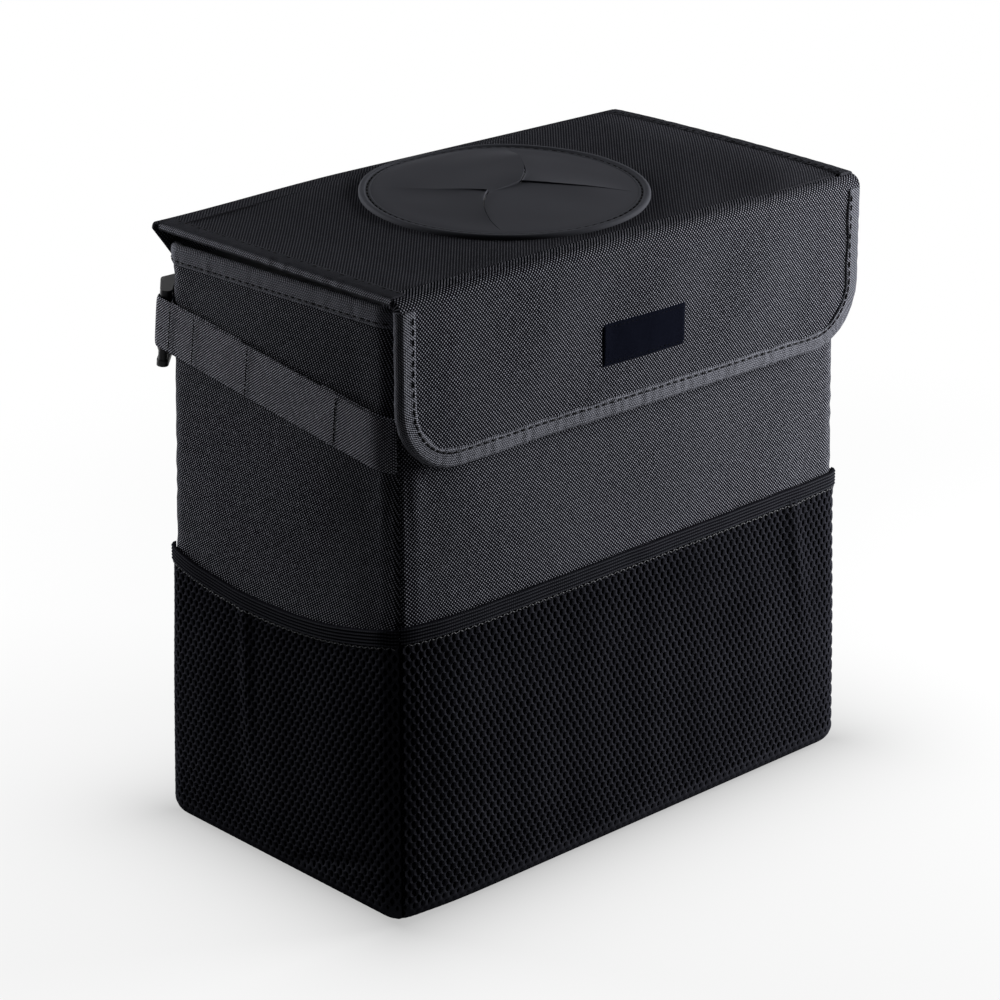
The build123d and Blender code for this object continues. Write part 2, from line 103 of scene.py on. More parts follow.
class Wall(Enum):
    """Walls of the body: outward direction, then the direction along it, seen from above."""

    FRONT = (0.0, -1.0, 1.0, 0.0)
    RIGHT = (1.0, 0.0, 0.0, 1.0)
    BACK = (0.0, 1.0, -1.0, 0.0)
    LEFT = (-1.0, 0.0, 0.0, -1.0)

    @property
    def is_side(self) -> bool:
        """Whether it is the left or the right wall."""
        return self.value[1] == 0.0

    @property
    def order(self) -> int:
        """Its place in the round of the walls."""
        return list(Wall).index(self)


class HemLine(NamedTuple):
    """Line of a pocket's hem: height at its ends, dip between them, and rise along the wall."""

    top: float
    dip: float
    slant: float


HEM_LINES = {
    Wall.FRONT: HemLine(130.3, 0.5, 1.65),
    Wall.LEFT: HemLine(126.7, 10.0, 1.3),
    Wall.RIGHT: HemLine(129.0, 10.0, 0.0),
}


# Shapes


def smooth_step(low: float, high: float, x: Array) -> Array:
    """Rises from 0 at low to 1 at high along a cubic with level ends.

    Args:
        low: Value where the rise starts.
        high: Value where it ends.
        x: Values to map.

    Returns:
        The risen values, from 0 to 1.
    """
    t = np.clip((x - low) / (high - low), 0.0, 1.0)
    return t * t * (3.0 - 2.0 * t)


def ripple(u: Array, v: Array, seed: int, pitch: float, terms: int = 9) -> Array:
    """Gentle random waves: the sum of a few cosines with seeded directions and phases.

    Args:
        u: First coordinate.
        v: Second coordinate.
        seed: Seed of the directions and phases.
        pitch: Usual distance between crests.
        terms: Number of cosines.

    Returns:
        Waves of about plus or minus 1.
    """
    rng = np.random.default_rng(seed)
    angle = rng.uniform(0.0, 2.0 * math.pi, terms)
    rate = rng.uniform(0.7, 1.4, terms) * 2.0 * math.pi / pitch
    phase = rng.uniform(0.0, 2.0 * math.pi, terms)
    u, v = np.broadcast_arrays(u, v)
    waves = u[..., None] * np.cos(angle) + v[..., None] * np.sin(angle)
    return np.cos(waves * rate + phase).sum(-1) / math.sqrt(terms)


def unit(vectors: Array) -> Array:
    """Scales each vector to length 1."""
    return vectors / np.maximum(np.linalg.norm(vectors, axis=-1, keepdims=True), 1e-12)


def spots(*coordinates: Array) -> Array:
    """Points, directions or places on the cloth from their coordinates, which may be single numbers."""
    return np.stack(np.broadcast_arrays(*coordinates), axis=-1)


def circle(count: int) -> Array:
    """Angles of points spaced evenly round a circle."""
    return np.arange(count) * 2.0 * math.pi / count


def seam_dip(depth: float, width: float, distance: Array) -> Array:
    """Dip beside a seam: depth * t * exp(1 - t), with t the distance to the seam over the width."""
    t = distance / width
    return depth * t * np.exp(1.0 - t)


def along(points: Array) -> Array:
    """Distance from the first point to each point of a path, along the path."""
    step = np.linalg.norm(np.diff(points, axis=0), axis=1)
    return np.r_[0.0, np.cumsum(step)]


def resample(points: Array, step: float) -> Array:
    """The same path again with points about a step apart."""
    length = along(points)
    count = max(2, int(round(length[-1] / step)) + 1)
    at = np.linspace(0.0, length[-1], count)
    return np.stack([np.interp(at, length, points[:, k]) for k in range(points.shape[1])], axis=1)


@dataclass
class Patch:
    """Grid of points with cloth coordinates and the finish of its faces.

    The outside is where the columns' direction crossed with the rows' direction points.
    """

    points: Array
    uv: Array
    close_rows: bool = False
    close_columns: bool = False
    flip: bool = False
    finish: int | Array = 0

    def faces(self, first: int) -> Array:
        """Corner indices of each face, for points numbered from first."""
        rows, columns = self.points.shape[:2]
        return first + self._corners(rows, columns, True)

    def uv_faces(self) -> Array:
        """Cloth coordinates of each face's corners."""
        rows, columns = self.uv.shape[:2]
        return self.uv.reshape(-1, 2)[self._corners(rows, columns, False)]

    def finishes(self) -> Array:
        """Finish index of each face."""
        count = len(self._corners(*self.points.shape[:2], True))
        return np.broadcast_to(np.ravel(self.finish), (count,))

    def _corners(self, rows: int, columns: int, wrap: bool) -> Array:
        """Corner indices of the grid's faces, wrapped round where the grid closes."""
        more_rows = self.points.shape[0] - (0 if self.close_rows else 1)
        more_columns = self.points.shape[1] - (0 if self.close_columns else 1)
        i, j = np.meshgrid(np.arange(more_rows), np.arange(more_columns), indexing="ij")
        up = (i + 1) % rows if wrap else i + 1
        right = (j + 1) % columns if wrap else j + 1
        order = [i * columns + j, i * columns + right, up * columns + right, up * columns + j]
        corners = np.stack(order, axis=-1).reshape(-1, 4)
        return corners[:, ::-1] if self.flip else corners


def make_piece(name: str, patches: list[Patch], finishes: list[Material], sharp: float = 45.0) -> Piece:
    """Joins patches into one mesh object, welds their doubles and sets its finishes.

    Args:
        name: Name of the piece.
        patches: Grids, in millimetres.
        finishes: Materials that the patches' finish indices pick from.
        sharp: Angle in degrees past which an edge is shaded sharp.

    Returns:
        The new object, linked to the scene.
    """
    counts = np.cumsum([0] + [p.points.shape[0] * p.points.shape[1] for p in patches])
    points = np.concatenate([p.points.reshape(-1, 3) for p in patches]) * MM
    quads = np.concatenate([p.faces(int(n)) for p, n in zip(patches, counts)])
    uv = np.concatenate([p.uv_faces() for p in patches]).reshape(-1, 2)
    slots = np.concatenate([p.finishes() for p in patches])
    return mesh_piece(name, points, quads, uv, slots, finishes, sharp)


def mesh_piece(
    name: str, points: Array, quads: Array, uv: Array, slots: Array, finishes: list[Material], sharp: float
) -> Piece:
    """Puts points in metres and four-cornered faces into a welded mesh object.

    Args:
        name: Name of the piece.
        points: Points, in metres.
        quads: Corner indices of each face.
        uv: Cloth coordinates of each corner.
        slots: Finish index of each face.
        finishes: Materials.
        sharp: Angle in degrees past which an edge is shaded sharp.

    Returns:
        The new object, linked to the scene.
    """
    mesh = bpy.data.meshes.new(name)
    mesh.vertices.add(len(points))
    mesh.vertices.foreach_set("co", points.astype(np.float32).ravel())
    mesh.loops.add(quads.size)
    mesh.loops.foreach_set("vertex_index", quads.astype(np.int32).ravel())
    mesh.polygons.add(len(quads))
    mesh.polygons.foreach_set("loop_start", np.arange(0, quads.size, 4, dtype=np.int32))
    for finish in finishes:
        mesh.materials.append(finish)
    mesh.polygons.foreach_set("material_index", slots.astype(np.int32))
    mesh.update(calc_edges=True)
    layer = mesh.uv_layers.new(name="cloth")
    layer.data.foreach_set("uv", uv.astype(np.float32).ravel())
    welded = bmesh.new()
    welded.from_mesh(mesh)
    bmesh.ops.remove_doubles(welded, verts=welded.verts, dist=WELD)
    bmesh.ops.dissolve_degenerate(welded, edges=welded.edges, dist=SLIVER)
    welded.to_mesh(mesh)
    welded.free()
    mesh.polygons.foreach_set("use_smooth", np.ones(len(mesh.polygons), bool))
    mesh.set_sharp_from_angle(angle=math.radians(sharp))
    mesh.update()
    piece = bpy.data.objects.new(name, mesh)
    bpy.context.scene.collection.objects.link(piece)
    return piece


def capped(points: Array, uv: Array) -> tuple[Array, Array]:
    """Closes the two ends of a tube: one more row at each end, drawn to the end's middle.

    Args:
        points: Rows of section points along the tube.
        uv: Their cloth coordinates.

    Returns:
        The points and coordinates with the two end rows added.
    """
    low = np.broadcast_to(points[:1].mean(axis=1, keepdims=True), points[:1].shape)
    high = np.broadcast_to(points[-1:].mean(axis=1, keepdims=True), points[-1:].shape)
    return np.r_[low, points, high], np.r_[uv[:1], uv, uv[-1:]]


def doubled(outer: Array, inner: Array, cloth: Array) -> tuple[Array, Array]:
    """Joins two layers of a sheet into a flat tube and draws its two ends shut between the layers.

    Args:
        outer: Rows of points of the outer layer.
        inner: The same rows of the inner layer.
        cloth: Cloth coordinates of the rows.

    Returns:
        The points and coordinates of the closed sheet.
    """
    points = np.concatenate([outer, inner[:, ::-1]], axis=1)
    points = np.r_[points[:1], points, points[-1:]]
    for end in (0, -1):
        points[end] = (points[end] + points[end, ::-1]) / 2.0
    uv = np.concatenate([cloth, cloth[:, ::-1], cloth[:, :1]], axis=1)
    return points, np.r_[uv[:1], uv, uv[-1:]]


def floor_patch(edge: Array, flip: bool, level: float | None = None) -> Patch:
    """Floor that runs in from a wall's lowest row to the middle.

    Args:
        edge: The wall's lowest row of points.
        flip: Whether the floor faces down.
        level: Height to hold the floor to, if it is held.

    Returns:
        The wall's share of the floor.
    """
    floor = edge[None] * (1.0 - np.linspace(0.0, 1.0, 6))[:, None, None]
    if level is not None:
        floor[..., 2] = level
    return Patch(floor, floor[..., :2], flip=flip)


def stitches(
    name: str,
    places: Array,
    run: Array,
    rise: Array,
    finish: Material,
    length: float = 2.6,
    width: float = 0.75,
    height: float = 0.36,
) -> Piece:
    """Row of sewn stitches, each a slim bulging bead on the cloth.

    A bead is swept along its run by a in -1 to 1 with radius (1 - a**4)**0.5, on an ellipse
    of the given width and height.

    Args:
        name: Name of the piece.
        places: Middle of each stitch on the cloth.
        run: Direction of each stitch, or of all.
        rise: Direction away from the cloth at each stitch, or at all.
        finish: Thread.
        length: Length of a stitch.
        width: Width of a stitch.
        height: Height of a stitch over the cloth.

    Returns:
        The row as one piece.
    """
    a = np.array([-1.0, -0.82, 0.0, 0.82, 1.0])
    rows, sides = len(a) - 1, 6
    b = circle(sides)
    swell = np.sqrt(np.maximum(1.0 - a**4, 0.0))
    run, rise = (unit(np.broadcast_to(way, places.shape)) for way in (run, rise))
    side = unit(np.cross(rise, run))
    shape = places[:, None, None] + run[:, None, None] * (a * length / 2.0)[None, :, None, None]
    shape = shape + side[:, None, None] * (swell[:, None] * np.cos(b) * width / 2.0)[None, ..., None]
    shape = shape + rise[:, None, None] * (swell[:, None] * np.sin(b) * height)[None, ..., None]
    count = len(places)
    one = Patch(shape[0], shape[0], close_columns=True, flip=True).faces(0)
    quads = (one[None] + len(a) * sides * np.arange(count)[:, None, None]).reshape(-1, 4)
    corner_uv = spots((one // sides) / rows * length, (one % sides) / sides * width)
    uv = np.broadcast_to(corner_uv, (count, *corner_uv.shape)).reshape(-1, 2)
    points = shape.reshape(-1, 3) * MM
    return mesh_piece(name, points, quads, uv, np.zeros(len(quads), int), [finish], 80.0)


def folded_tape(half: float, width: float, skin: float) -> tuple[Array, Array]:
    """Section of a tape folded over an edge: flat face, round nose, flat face, closed through the cloth.

    Args:
        half: Half of the thickness over the tape's two faces.
        width: Width that each face covers, back from the nose.
        skin: Thickness of the tape.

    Returns:
        Distances out past the edge and across it, going round the section.
    """
    nose, bevel, low = 0.7 * half, 0.3 * skin, half - skin
    flat = np.linspace(-width + 0.35, -nose, 6)
    turn = np.linspace(0.5 * math.pi, -0.5 * math.pi, 9)[1:-1]
    level = np.full(len(flat), half)
    e = np.r_[-width, -width, flat, nose * np.cos(turn) - nose, flat[::-1], -width, -width]
    f = np.r_[low, half - bevel, level, half * np.sin(turn), -level, bevel - half, -low]
    return e, f


def tape_shares(e: Array) -> tuple[Array, Array]:
    """How far each point of a folded tape's section is on a flat face, and how far at an inner edge."""
    return smooth_step(-1.0, -3.0, e), smooth_step(-5.5, -8.0, e)


# Finishes


class Nodes:
    """Short ways to add shader nodes to a material or to the world."""

    def __init__(self, owner: Material | bpy.types.World) -> None:
        """Starts the owner's nodes afresh."""
        owner.use_nodes = True
        self.owner = owner
        self.tree = owner.node_tree
        self.tree.nodes.clear()

    def add(self, kind: str, inputs: dict[str | int, object] | None = None, **settings: object) -> Node:
        """Adds a node, sets its properties and links or sets its inputs.

        Args:
            kind: Node type, without the words that all shader nodes start with.
            inputs: Input names or numbers, with a socket to link or a value to set.
            **settings: Properties of the node.

        Returns:
            The node.
        """
        node = self.tree.nodes.new(f"ShaderNode{kind}")
        for key, value in settings.items():
            setattr(node, key, value)
        for key, value in (inputs or {}).items():
            if isinstance(value, Socket):
                self.tree.links.new(value, node.inputs[key])
            else:
                node.inputs[key].default_value = value
        return node

    def cloth(self) -> Socket:
        """Coordinates of the piece's own cloth map, in millimetres."""
        return self.add("UVMap", uv_map="cloth").outputs["UV"]

    def place(self) -> Socket:
        """Object coordinates, in metres."""
        return self.add("TexCoord").outputs["Object"]

    def split(self, vector: Socket) -> tuple[Socket, Socket]:
        """First two coordinates of a vector."""
        node = self.add("SeparateXYZ", {0: vector})
        return node.outputs[0], node.outputs[1]

    def math(self, operation: str, a: object, b: object = 0.0, c: object = 0.0) -> Socket:
        """Result of a Math node."""
        return self.add("Math", {0: a, 1: b, 2: c}, operation=operation).outputs[0]

    def seen(self) -> Socket:
        """1 for rays that show a surface directly, in a reflection or through film, and 0 for the others."""
        path = self.add("LightPath").outputs
        direct = self.math("MAXIMUM", path["Is Camera Ray"], path["Is Glossy Ray"])
        return self.math("MAXIMUM", direct, path["Is Transmission Ray"])

    def noise(self, vector: Socket, scale: float, detail: float) -> Socket:
        """Values of a noise texture."""
        return self.add("TexNoise", {"Vector": vector, "Scale": scale, "Detail": detail}).outputs[0]

    def tones(self, share: Socket, low: Colour, high: Colour, middle: Colour | None = None) -> Socket:
        """Colour from low to high, over middle where it is given."""
        ramp = self.add("ValToRGB", {0: share})
        elements = ramp.color_ramp.elements
        elements[0].color, elements[1].color = (*low, 1.0), (*high, 1.0)
        if middle is not None:
            elements.new(0.5).color = (*middle, 1.0)
        return ramp.outputs[0]

    def relief(self, height: Socket, depth: float, normal: Socket | None = None) -> Socket:
        """Normal of a height field whose full height is depth, in metres."""
        inputs: dict[str | int, object] = {"Height": height, "Distance": depth, "Strength": 1.0}
        if normal is not None:
            inputs["Normal"] = normal
        return self.add("Bump", inputs).outputs[0]

    def surface(self, **inputs: object) -> Material:
        """Ends the material with a Principled shader whose inputs use names with spaces for underscores."""
        named = {key.replace("_", " "): value for key, value in inputs.items()}
        shader = self.add("BsdfPrincipled", named)
        self.add("OutputMaterial", {"Surface": shader.outputs[0]})
        return self.owner


@dataclass(frozen=True)
class PlainWeave:
    """Plain weave: warp and weft threads that pass over and under each other in a checker."""

    name: str
    low: Colour
    middle: Colour
    high: Colour
    warp: float = 0.79
    weft: float = 0.83
    roughness: float = 0.9
    uneven: float = 0.16
    slub: float = 0.6
    slub_base: float = 0.72
    depth: float = 0.00006

    def build(self) -> Material:
        """The height is a sine across the warp times one across the weft, and its crowns are pale: a painted
        glint of light on the thread crowns, over the weave's real checker.
        """
        n = Nodes(bpy.data.materials.new(self.name))
        u, v = n.split(n.cloth())
        a = n.math("SINE", n.math("MULTIPLY", u, math.pi / self.warp))
        b = n.math("SINE", n.math("MULTIPLY", v, math.pi / self.weft))
        cross = n.math("MULTIPLY", a, b)
        stretched = n.add("Mapping", {"Vector": n.cloth(), "Scale": (0.25, 1.2, 1.0)})
        slub = n.noise(stretched.outputs[0], 1.0, 2.0)
        thick = n.math("MULTIPLY_ADD", slub, self.slub, self.slub_base)
        # Pale crowns: painted glint of light on each thread crossing, over the real weave pattern.
        crown = n.math("MULTIPLY", n.math("MAXIMUM", cross, 0.0), thick)
        tone = n.math("MULTIPLY", crown, crown)
        lint = n.noise(n.cloth(), 0.07, 4.0)
        return n.surface(
            Base_Color=n.tones(tone, self.low, self.high, self.middle),
            Roughness=n.math("MULTIPLY_ADD", lint, self.uneven, self.roughness - self.uneven / 2.0),
            Normal=n.relief(cross, self.depth),
            Specular_IOR_Level=0.0,
        )


@dataclass(frozen=True)
class RibbedCloth:
    """Narrow woven goods with ribs: tape, elastic or label."""

    name: str
    dark: Colour
    light: Colour
    rib: float
    along_path: bool
    lean: float = 0.0
    fleck: float = 0.3
    roughness: float = 0.75
    uneven: float = 0.2
    depth: float = 0.00018
    cross_pitch: float = 0.8
    cross_height: float = 0.22
    crown_tone: float = 0.75
    ground_tone: float = 0.05

    def build(self) -> Material:
        """Ribs are a sine across or along the cloth, slanted where asked, with paler flecks."""
        n = Nodes(bpy.data.materials.new(self.name))
        u, v = n.split(n.cloth())
        first, second = (v, u) if self.along_path else (u, v)
        if self.lean > 0.0:
            first = n.math("MULTIPLY_ADD", second, self.lean, first)
        rib = n.math("SINE", n.math("MULTIPLY", first, 2.0 * math.pi / self.rib))
        rate = 2.0 * math.pi / (self.cross_pitch * self.rib)
        cross = n.math("SINE", n.math("MULTIPLY", second, rate))
        height = n.math("MULTIPLY_ADD", cross, self.cross_height, n.math("MULTIPLY_ADD", rib, 0.5, 0.5))
        fuzz = n.noise(n.cloth(), 2.2, 3.0)
        crown = n.math("MULTIPLY", height, height)
        woven = n.math("MULTIPLY_ADD", crown, self.crown_tone, self.ground_tone - 0.5 * self.fleck)
        tone = n.math("MULTIPLY_ADD", fuzz, self.fleck, woven)
        worn = n.noise(n.cloth(), 0.12, 3.0)
        return n.surface(
            Base_Color=n.tones(tone, self.dark, self.light),
            Roughness=n.math("MULTIPLY_ADD", worn, self.uneven, self.roughness - self.uneven / 2.0),
            Normal=n.relief(height, self.depth),
            Specular_IOR_Level=0.0,
        )


@dataclass(frozen=True)
class SmoothGoods:
    """Rubber, plastic, film, yarn, thread, pile or board: fine grain over slow unevenness."""

    name: str
    dark: Colour
    light: Colour
    roughness: float
    grain: float = 900.0
    grain_depth: float = 0.00004
    slow: float = 40.0
    slow_depth: float = 0.0
    uneven: float = 0.2
    specular: float = 0.5

    def build(self) -> Material:
        """Two noise fields on object coordinates give the tone, the gloss and the relief."""
        n = Nodes(bpy.data.materials.new(self.name))
        place = n.place()
        fine = n.noise(place, self.grain, 3.0)
        wide = n.noise(place, self.slow, 4.0)
        tone = n.math("MULTIPLY_ADD", fine, 0.5, n.math("MULTIPLY", wide, 0.5))
        normal = n.relief(fine, self.grain_depth)
        if self.slow_depth > 0.0:
            normal = n.relief(wide, self.slow_depth, normal)
        return n.surface(
            Base_Color=n.tones(tone, self.dark, self.light),
            Roughness=n.math("MULTIPLY_ADD", wide, self.uneven, self.roughness - self.uneven / 2.0),
            Normal=normal,
            Specular_IOR_Level=self.specular,
        )


@dataclass(frozen=True)
class StudioWhite:
    """White paper floor that keeps the real shadow, has a painted contact shadow round the bin's foot and
    runs out to white with distance.
    """

    name: str
    paper: float = 0.06
    bounce: float = 0.25
    shadowed_glow: float = 0.5
    glow: float = 0.86
    shade: float = 0.026
    clear_from: float = 0.15
    clear_at: float = 0.5
    half_wide: float = 0.13
    half_deep: float = 0.073

    def build(self) -> Material:
        """Seen directly it is dim paper plus a glow, dimmed near the bin's foot as a painted contact shadow,
        that grows to white away from the foot.
        """
        n = Nodes(bpy.data.materials.new(self.name))
        x, y = n.split(n.place())
        dx = n.math("MAXIMUM", n.math("SUBTRACT", n.math("ABSOLUTE", x), self.half_wide), 0.0)
        dy = n.math("MAXIMUM", n.math("SUBTRACT", n.math("ABSOLUTE", y), self.half_deep), 0.0)
        away = n.math("SQRT", n.math("MULTIPLY_ADD", dx, dx, n.math("MULTIPLY", dy, dy)))
        inputs = {"Value": away, "From Min": self.clear_from, "From Max": self.clear_at}
        far = n.add("MapRange", inputs, interpolation_type="SMOOTHSTEP").outputs[0]
        paper = n.add("BsdfDiffuse", {"Color": (self.paper, self.paper, self.paper, 1.0)})
        # Painted contact shadow: the glow dims towards the bin's foot.
        painted_contact_shadow = n.math("EXPONENT", n.math("MULTIPLY", away, -1.0 / self.shade))
        strength = n.math("MULTIPLY_ADD", painted_contact_shadow, self.shadowed_glow - self.glow, self.glow)
        glow = n.add("Emission", {"Color": WHITE, "Strength": strength})
        both = n.add("AddShader", {0: paper.outputs[0], 1: glow.outputs[0]})
        white = n.add("Emission", {"Color": WHITE, "Strength": 1.0})
        seen = n.add("MixShader", {0: far, 1: both.outputs[0], 2: white.outputs[0]})
        bounce = n.add("BsdfDiffuse", {"Color": (self.bounce, self.bounce, self.bounce, 1.0)})
        mix = n.add("MixShader", {0: n.seen(), 1: bounce.outputs[0], 2: seen.outputs[0]})
        n.add("OutputMaterial", {"Surface": mix.outputs[0]})
        return n.owner


class Finishes:
    """Every finish of the bin, built once."""

    def __init__(self) -> None:
        """Builds the materials from their dark, middle and pale tones; a weave's pale tone is a painted
        glint on its thread crowns.
        """
        woven = (0.004, 0.004, 0.0053), (0.125, 0.128, 0.1484), (0.36, 0.365, 0.4134)
        # Darker copy of the woven tones: painted shade for the wall behind the nets.
        pocket_shade_tones = (0.0006, 0.0006, 0.0008), (0.004, 0.004, 0.0053), (0.012, 0.012, 0.0148)
        # Darker, flatter copy of the woven tones: painted shade for the lid's top and the hinge strip, where
        # little light falls.
        lid_shade_tones = (0.015, 0.015, 0.018), (0.064, 0.066, 0.0763), (0.15, 0.153, 0.1749)
        webbed = (0.014, 0.014, 0.017), (0.3, 0.305, 0.3498), (0.72, 0.728, 0.8056)
        lined = (0.02, 0.02, 0.0233), (0.06, 0.062, 0.071), (0.11, 0.112, 0.1272)
        self.shell = PlainWeave("shell_plain_weave", *woven).build()
        self.painted_shade_behind_net = PlainWeave("behind_net_painted_shade_weave", *pocket_shade_tones).build()
        self.lid = PlainWeave("lid_plain_weave", *woven).build()
        self.lid_upper_painted_shade = PlainWeave("lid_upper_painted_shade_weave", *lid_shade_tones).build()
        self.webbing = PlainWeave("strap_webbing_weave", *webbed, warp=0.6, weft=0.7).build()
        self.lining = PlainWeave("lid_lining_taffeta", *lined, warp=0.35, weft=0.35, roughness=0.6).build()
        self.tape = RibbedCloth(
            "edge_tape_ribs", (0.006, 0.006, 0.0085), (0.225, 0.23, 0.2618),
            rib=1.15, along_path=True, lean=0.8, fleck=1.1,
        ).build()
        # Darker copy of the edge tape for the lid's sides: painted shade, leaving only a lit bead in the
        # bright tape.
        self.side_tape_painted_shade = RibbedCloth(
            "side_tape_painted_shade_ribs", (0.01, 0.01, 0.0127), (0.075, 0.077, 0.088), rib=0.7, along_path=True
        ).build()
        self.elastic = RibbedCloth(
            "hem_elastic_knit", (0.003, 0.003, 0.0042), (0.028, 0.029, 0.034),
            rib=1.4, along_path=False, depth=0.0001,
        ).build()
        self.label = RibbedCloth(
            "label_satin_weave", (0.0018, 0.0021, 0.0042), (0.007, 0.008, 0.0142),
            rib=0.5, along_path=False, roughness=0.6, depth=0.00006,
        ).build()
        self.net = SmoothGoods(
            "pocket_net_yarn", (0.0055, 0.0055, 0.0074), (0.025, 0.0255, 0.0318), 0.9,
            grain=2600.0, specular=0.0,
        ).build()
        self.rubber = SmoothGoods(
            "petal_rubber_matt", (0.032, 0.033, 0.0392), (0.044, 0.045, 0.053), 0.65,
            grain=1800.0, grain_depth=0.00002, specular=0.02,
        ).build()
        self.bead = SmoothGoods(
            "port_bead_rubber", (0.034, 0.035, 0.042), (0.056, 0.058, 0.067), 0.7,
            grain=1500.0, specular=0.02,
        ).build()
        self.plastic = SmoothGoods(
            "buckle_plastic_gloss", (0.006, 0.006, 0.0074), (0.011, 0.011, 0.0127), 0.5,
            grain=1500.0, specular=0.12,
        ).build()
        self.liner = SmoothGoods(
            "liner_film_satin", (0.03, 0.031, 0.035), (0.048, 0.05, 0.0562), 0.46,
            slow=55.0, slow_depth=0.0012,
        ).build()
        self.thread = SmoothGoods(
            "sewing_thread", (0.030, 0.031, 0.034), (0.12, 0.122, 0.13), 0.6, grain=5200.0, specular=0.1
        ).build()
        self.dark_thread = SmoothGoods(
            "sewing_thread_dark", (0.002, 0.002, 0.002), (0.006, 0.006, 0.007), 0.7,
            grain=5200.0, specular=0.02,
        ).build()
        self.board = SmoothGoods("stiff_board_grey", (0.10, 0.10, 0.10), (0.16, 0.16, 0.15), 0.7).build()
        self.hook = SmoothGoods(
            "hook_tape_bristle", (0.012, 0.012, 0.013), (0.03, 0.031, 0.034), 0.8,
            grain=1400.0, grain_depth=0.0002, specular=0.05,
        ).build()
        self.loop = SmoothGoods(
            "loop_tape_fleece", (0.01, 0.01, 0.012), (0.034, 0.035, 0.038), 0.9,
            grain=1100.0, grain_depth=0.0003, specular=0.02,
        ).build()
        self.floor = StudioWhite("studio_white_floor").build()


# Body


@dataclass(frozen=True)
class BodyPlan:
    """Rounded box that the walls, tape, nets and hems follow."""

    width: float = 257.0
    depth: float = 143.0
    height: float = 256.0
    corner: float = 12.0
    foot: float = 9.0
    bulge: float = 4.6
    bulge_power: float = 1.1
    front_rise: float = 2.2
    rise_below: float = 70.0
    pull_depth: float = 2.2
    pull_width: float = 7.5
    pull_room: float = 0.6
    hem_end: float = 0.92
    floor_turn: float = 60.0
    seam_near: float = 2.6
    seam_steps: tuple[float, ...] = (1.9, 1.4, 1.0, 0.65, 0.35, 0.0)

    def straight(self, wall: Wall) -> float:
        """Length of a wall between its two rounded corners."""
        whole = self.depth if wall.is_side else self.width
        return whole - 2.0 * self.corner

    def span(self, wall: Wall) -> float:
        """Length of a wall from one corner seam to the next."""
        return self.straight(wall) + 0.5 * math.pi * self.corner

    @property
    def flat(self) -> tuple[float, float]:
        """Size in metres of the cloth for the walls: once round the body, and its height with a turn-in."""
        return sum(self.span(wall) for wall in Wall) * MM, (self.height + self.floor_turn) * MM

    @property
    def cut(self) -> float:
        """Area in square metres of the walls and the floor."""
        round_it = sum(self.span(wall) for wall in Wall)
        return (round_it * self.height + self.width * self.depth) * MM * MM

    def turned(self, wall: Wall, s: Array) -> Array:
        """Angle that a wall has turned through at distances along it, past its straight part."""
        return np.sign(s) * np.maximum(np.abs(s) - self.straight(wall) / 2.0, 0.0) / self.corner

    def at(self, wall: Wall, s: Array, out: Array, h: Array) -> Array:
        """Points on a wall: flat, then round the corners, and round the foot below.

        Args:
            wall: The wall.
            s: Distance along the wall from its middle.
            out: Distance out from the woven face.
            h: Height, measured down the rounded foot where it is below that.

        Returns:
            Points.
        """
        s, out, h = np.broadcast_arrays(s, out, h)
        half = self.straight(wall) / 2.0
        turn = self.turned(wall, s)
        sink = np.clip((self.foot - h) / self.foot, 0.0, 0.5 * math.pi)
        inside, outside = np.minimum(out, 0.0), np.maximum(out, 0.0)
        grown = np.minimum(self.belly(h), outside)
        reach = (self.foot + inside) * np.cos(sink) - self.foot + outside - grown
        z = np.where(h < self.foot, self.foot - (self.foot + inside) * np.sin(sink), h)
        radius = self.corner + reach
        a = np.clip(s, -half, half) * (1.0 + grown / half) + radius * np.sin(turn)
        across = self.width if wall.is_side else self.depth
        b = across / 2.0 - self.corner + grown + radius * np.cos(turn)
        ox, oy, tx, ty = wall.value
        y = ty * a + oy * b
        fore = 0.5 - y / self.depth
        z = z + self.front_rise * fore * smooth_step(self.height - self.rise_below, self.height, h)
        return spots(tx * a + ox * b, y, z)

    def belly(self, h: Array) -> Array:
        """How far the soft body widens below its rim: a power of the share of the height below the rim."""
        return self.bulge * np.clip(1.0 - h / self.height, 0.0, 1.0) ** self.bulge_power

    def flattened(self, wall: Wall, s: Array, h: Array) -> Array:
        """How far the front panel lies inside its round left corner, because it is pulled flat to that seam.

        The depth is a dip beside the seam, held to the room that the belly leaves.

        Args:
            wall: Wall that the panel covers.
            s: Distance along the wall from its middle.
            h: Height above the floor.

        Returns:
            The depth, which is nothing on the other walls.
        """
        if wall is not Wall.FRONT:
            return 0.0 * s
        dip = seam_dip(self.pull_depth, self.pull_width, self.span(wall) / 2.0 - np.abs(s))
        room = (self.belly(h) + self.pull_room) * smooth_step(0.0, 30.0, self.height - h)
        return np.minimum(dip, room) * smooth_step(20.0, -20.0, s)

    def hem_line(self, wall: Wall, s: Array) -> Array:
        """Height of a pocket's hem: its top at the ends, a shallow dip between them and a slant."""
        line = HEM_LINES[wall]
        share = np.clip(s / (self.span(wall) / 2.0), -self.hem_end, self.hem_end)
        return line.top - line.dip * (self.hem_end**2 - share**2) + line.slant * share

    def out(self, wall: Wall, s: Array) -> Array:
        """Outward direction of a wall at distances along it."""
        turn = self.turned(wall, s)
        ox, oy, tx, ty = wall.value
        x = ox * np.cos(turn) + tx * np.sin(turn)
        y = oy * np.cos(turn) + ty * np.sin(turn)
        return spots(x, y, 0.0)

    def stations(self, wall: Wall, step: float) -> Array:
        """Distances along a wall, close together at the corner seams and in the corners."""
        half, end = self.straight(wall) / 2.0, self.span(wall) / 2.0
        flat = np.linspace(-half, half, max(3, int(2.0 * half / step)))
        bend = np.linspace(half, end - self.seam_near, 7)[1:]
        far = np.r_[bend, end - np.array(self.seam_steps)]
        return np.r_[-far[::-1], flat, far]

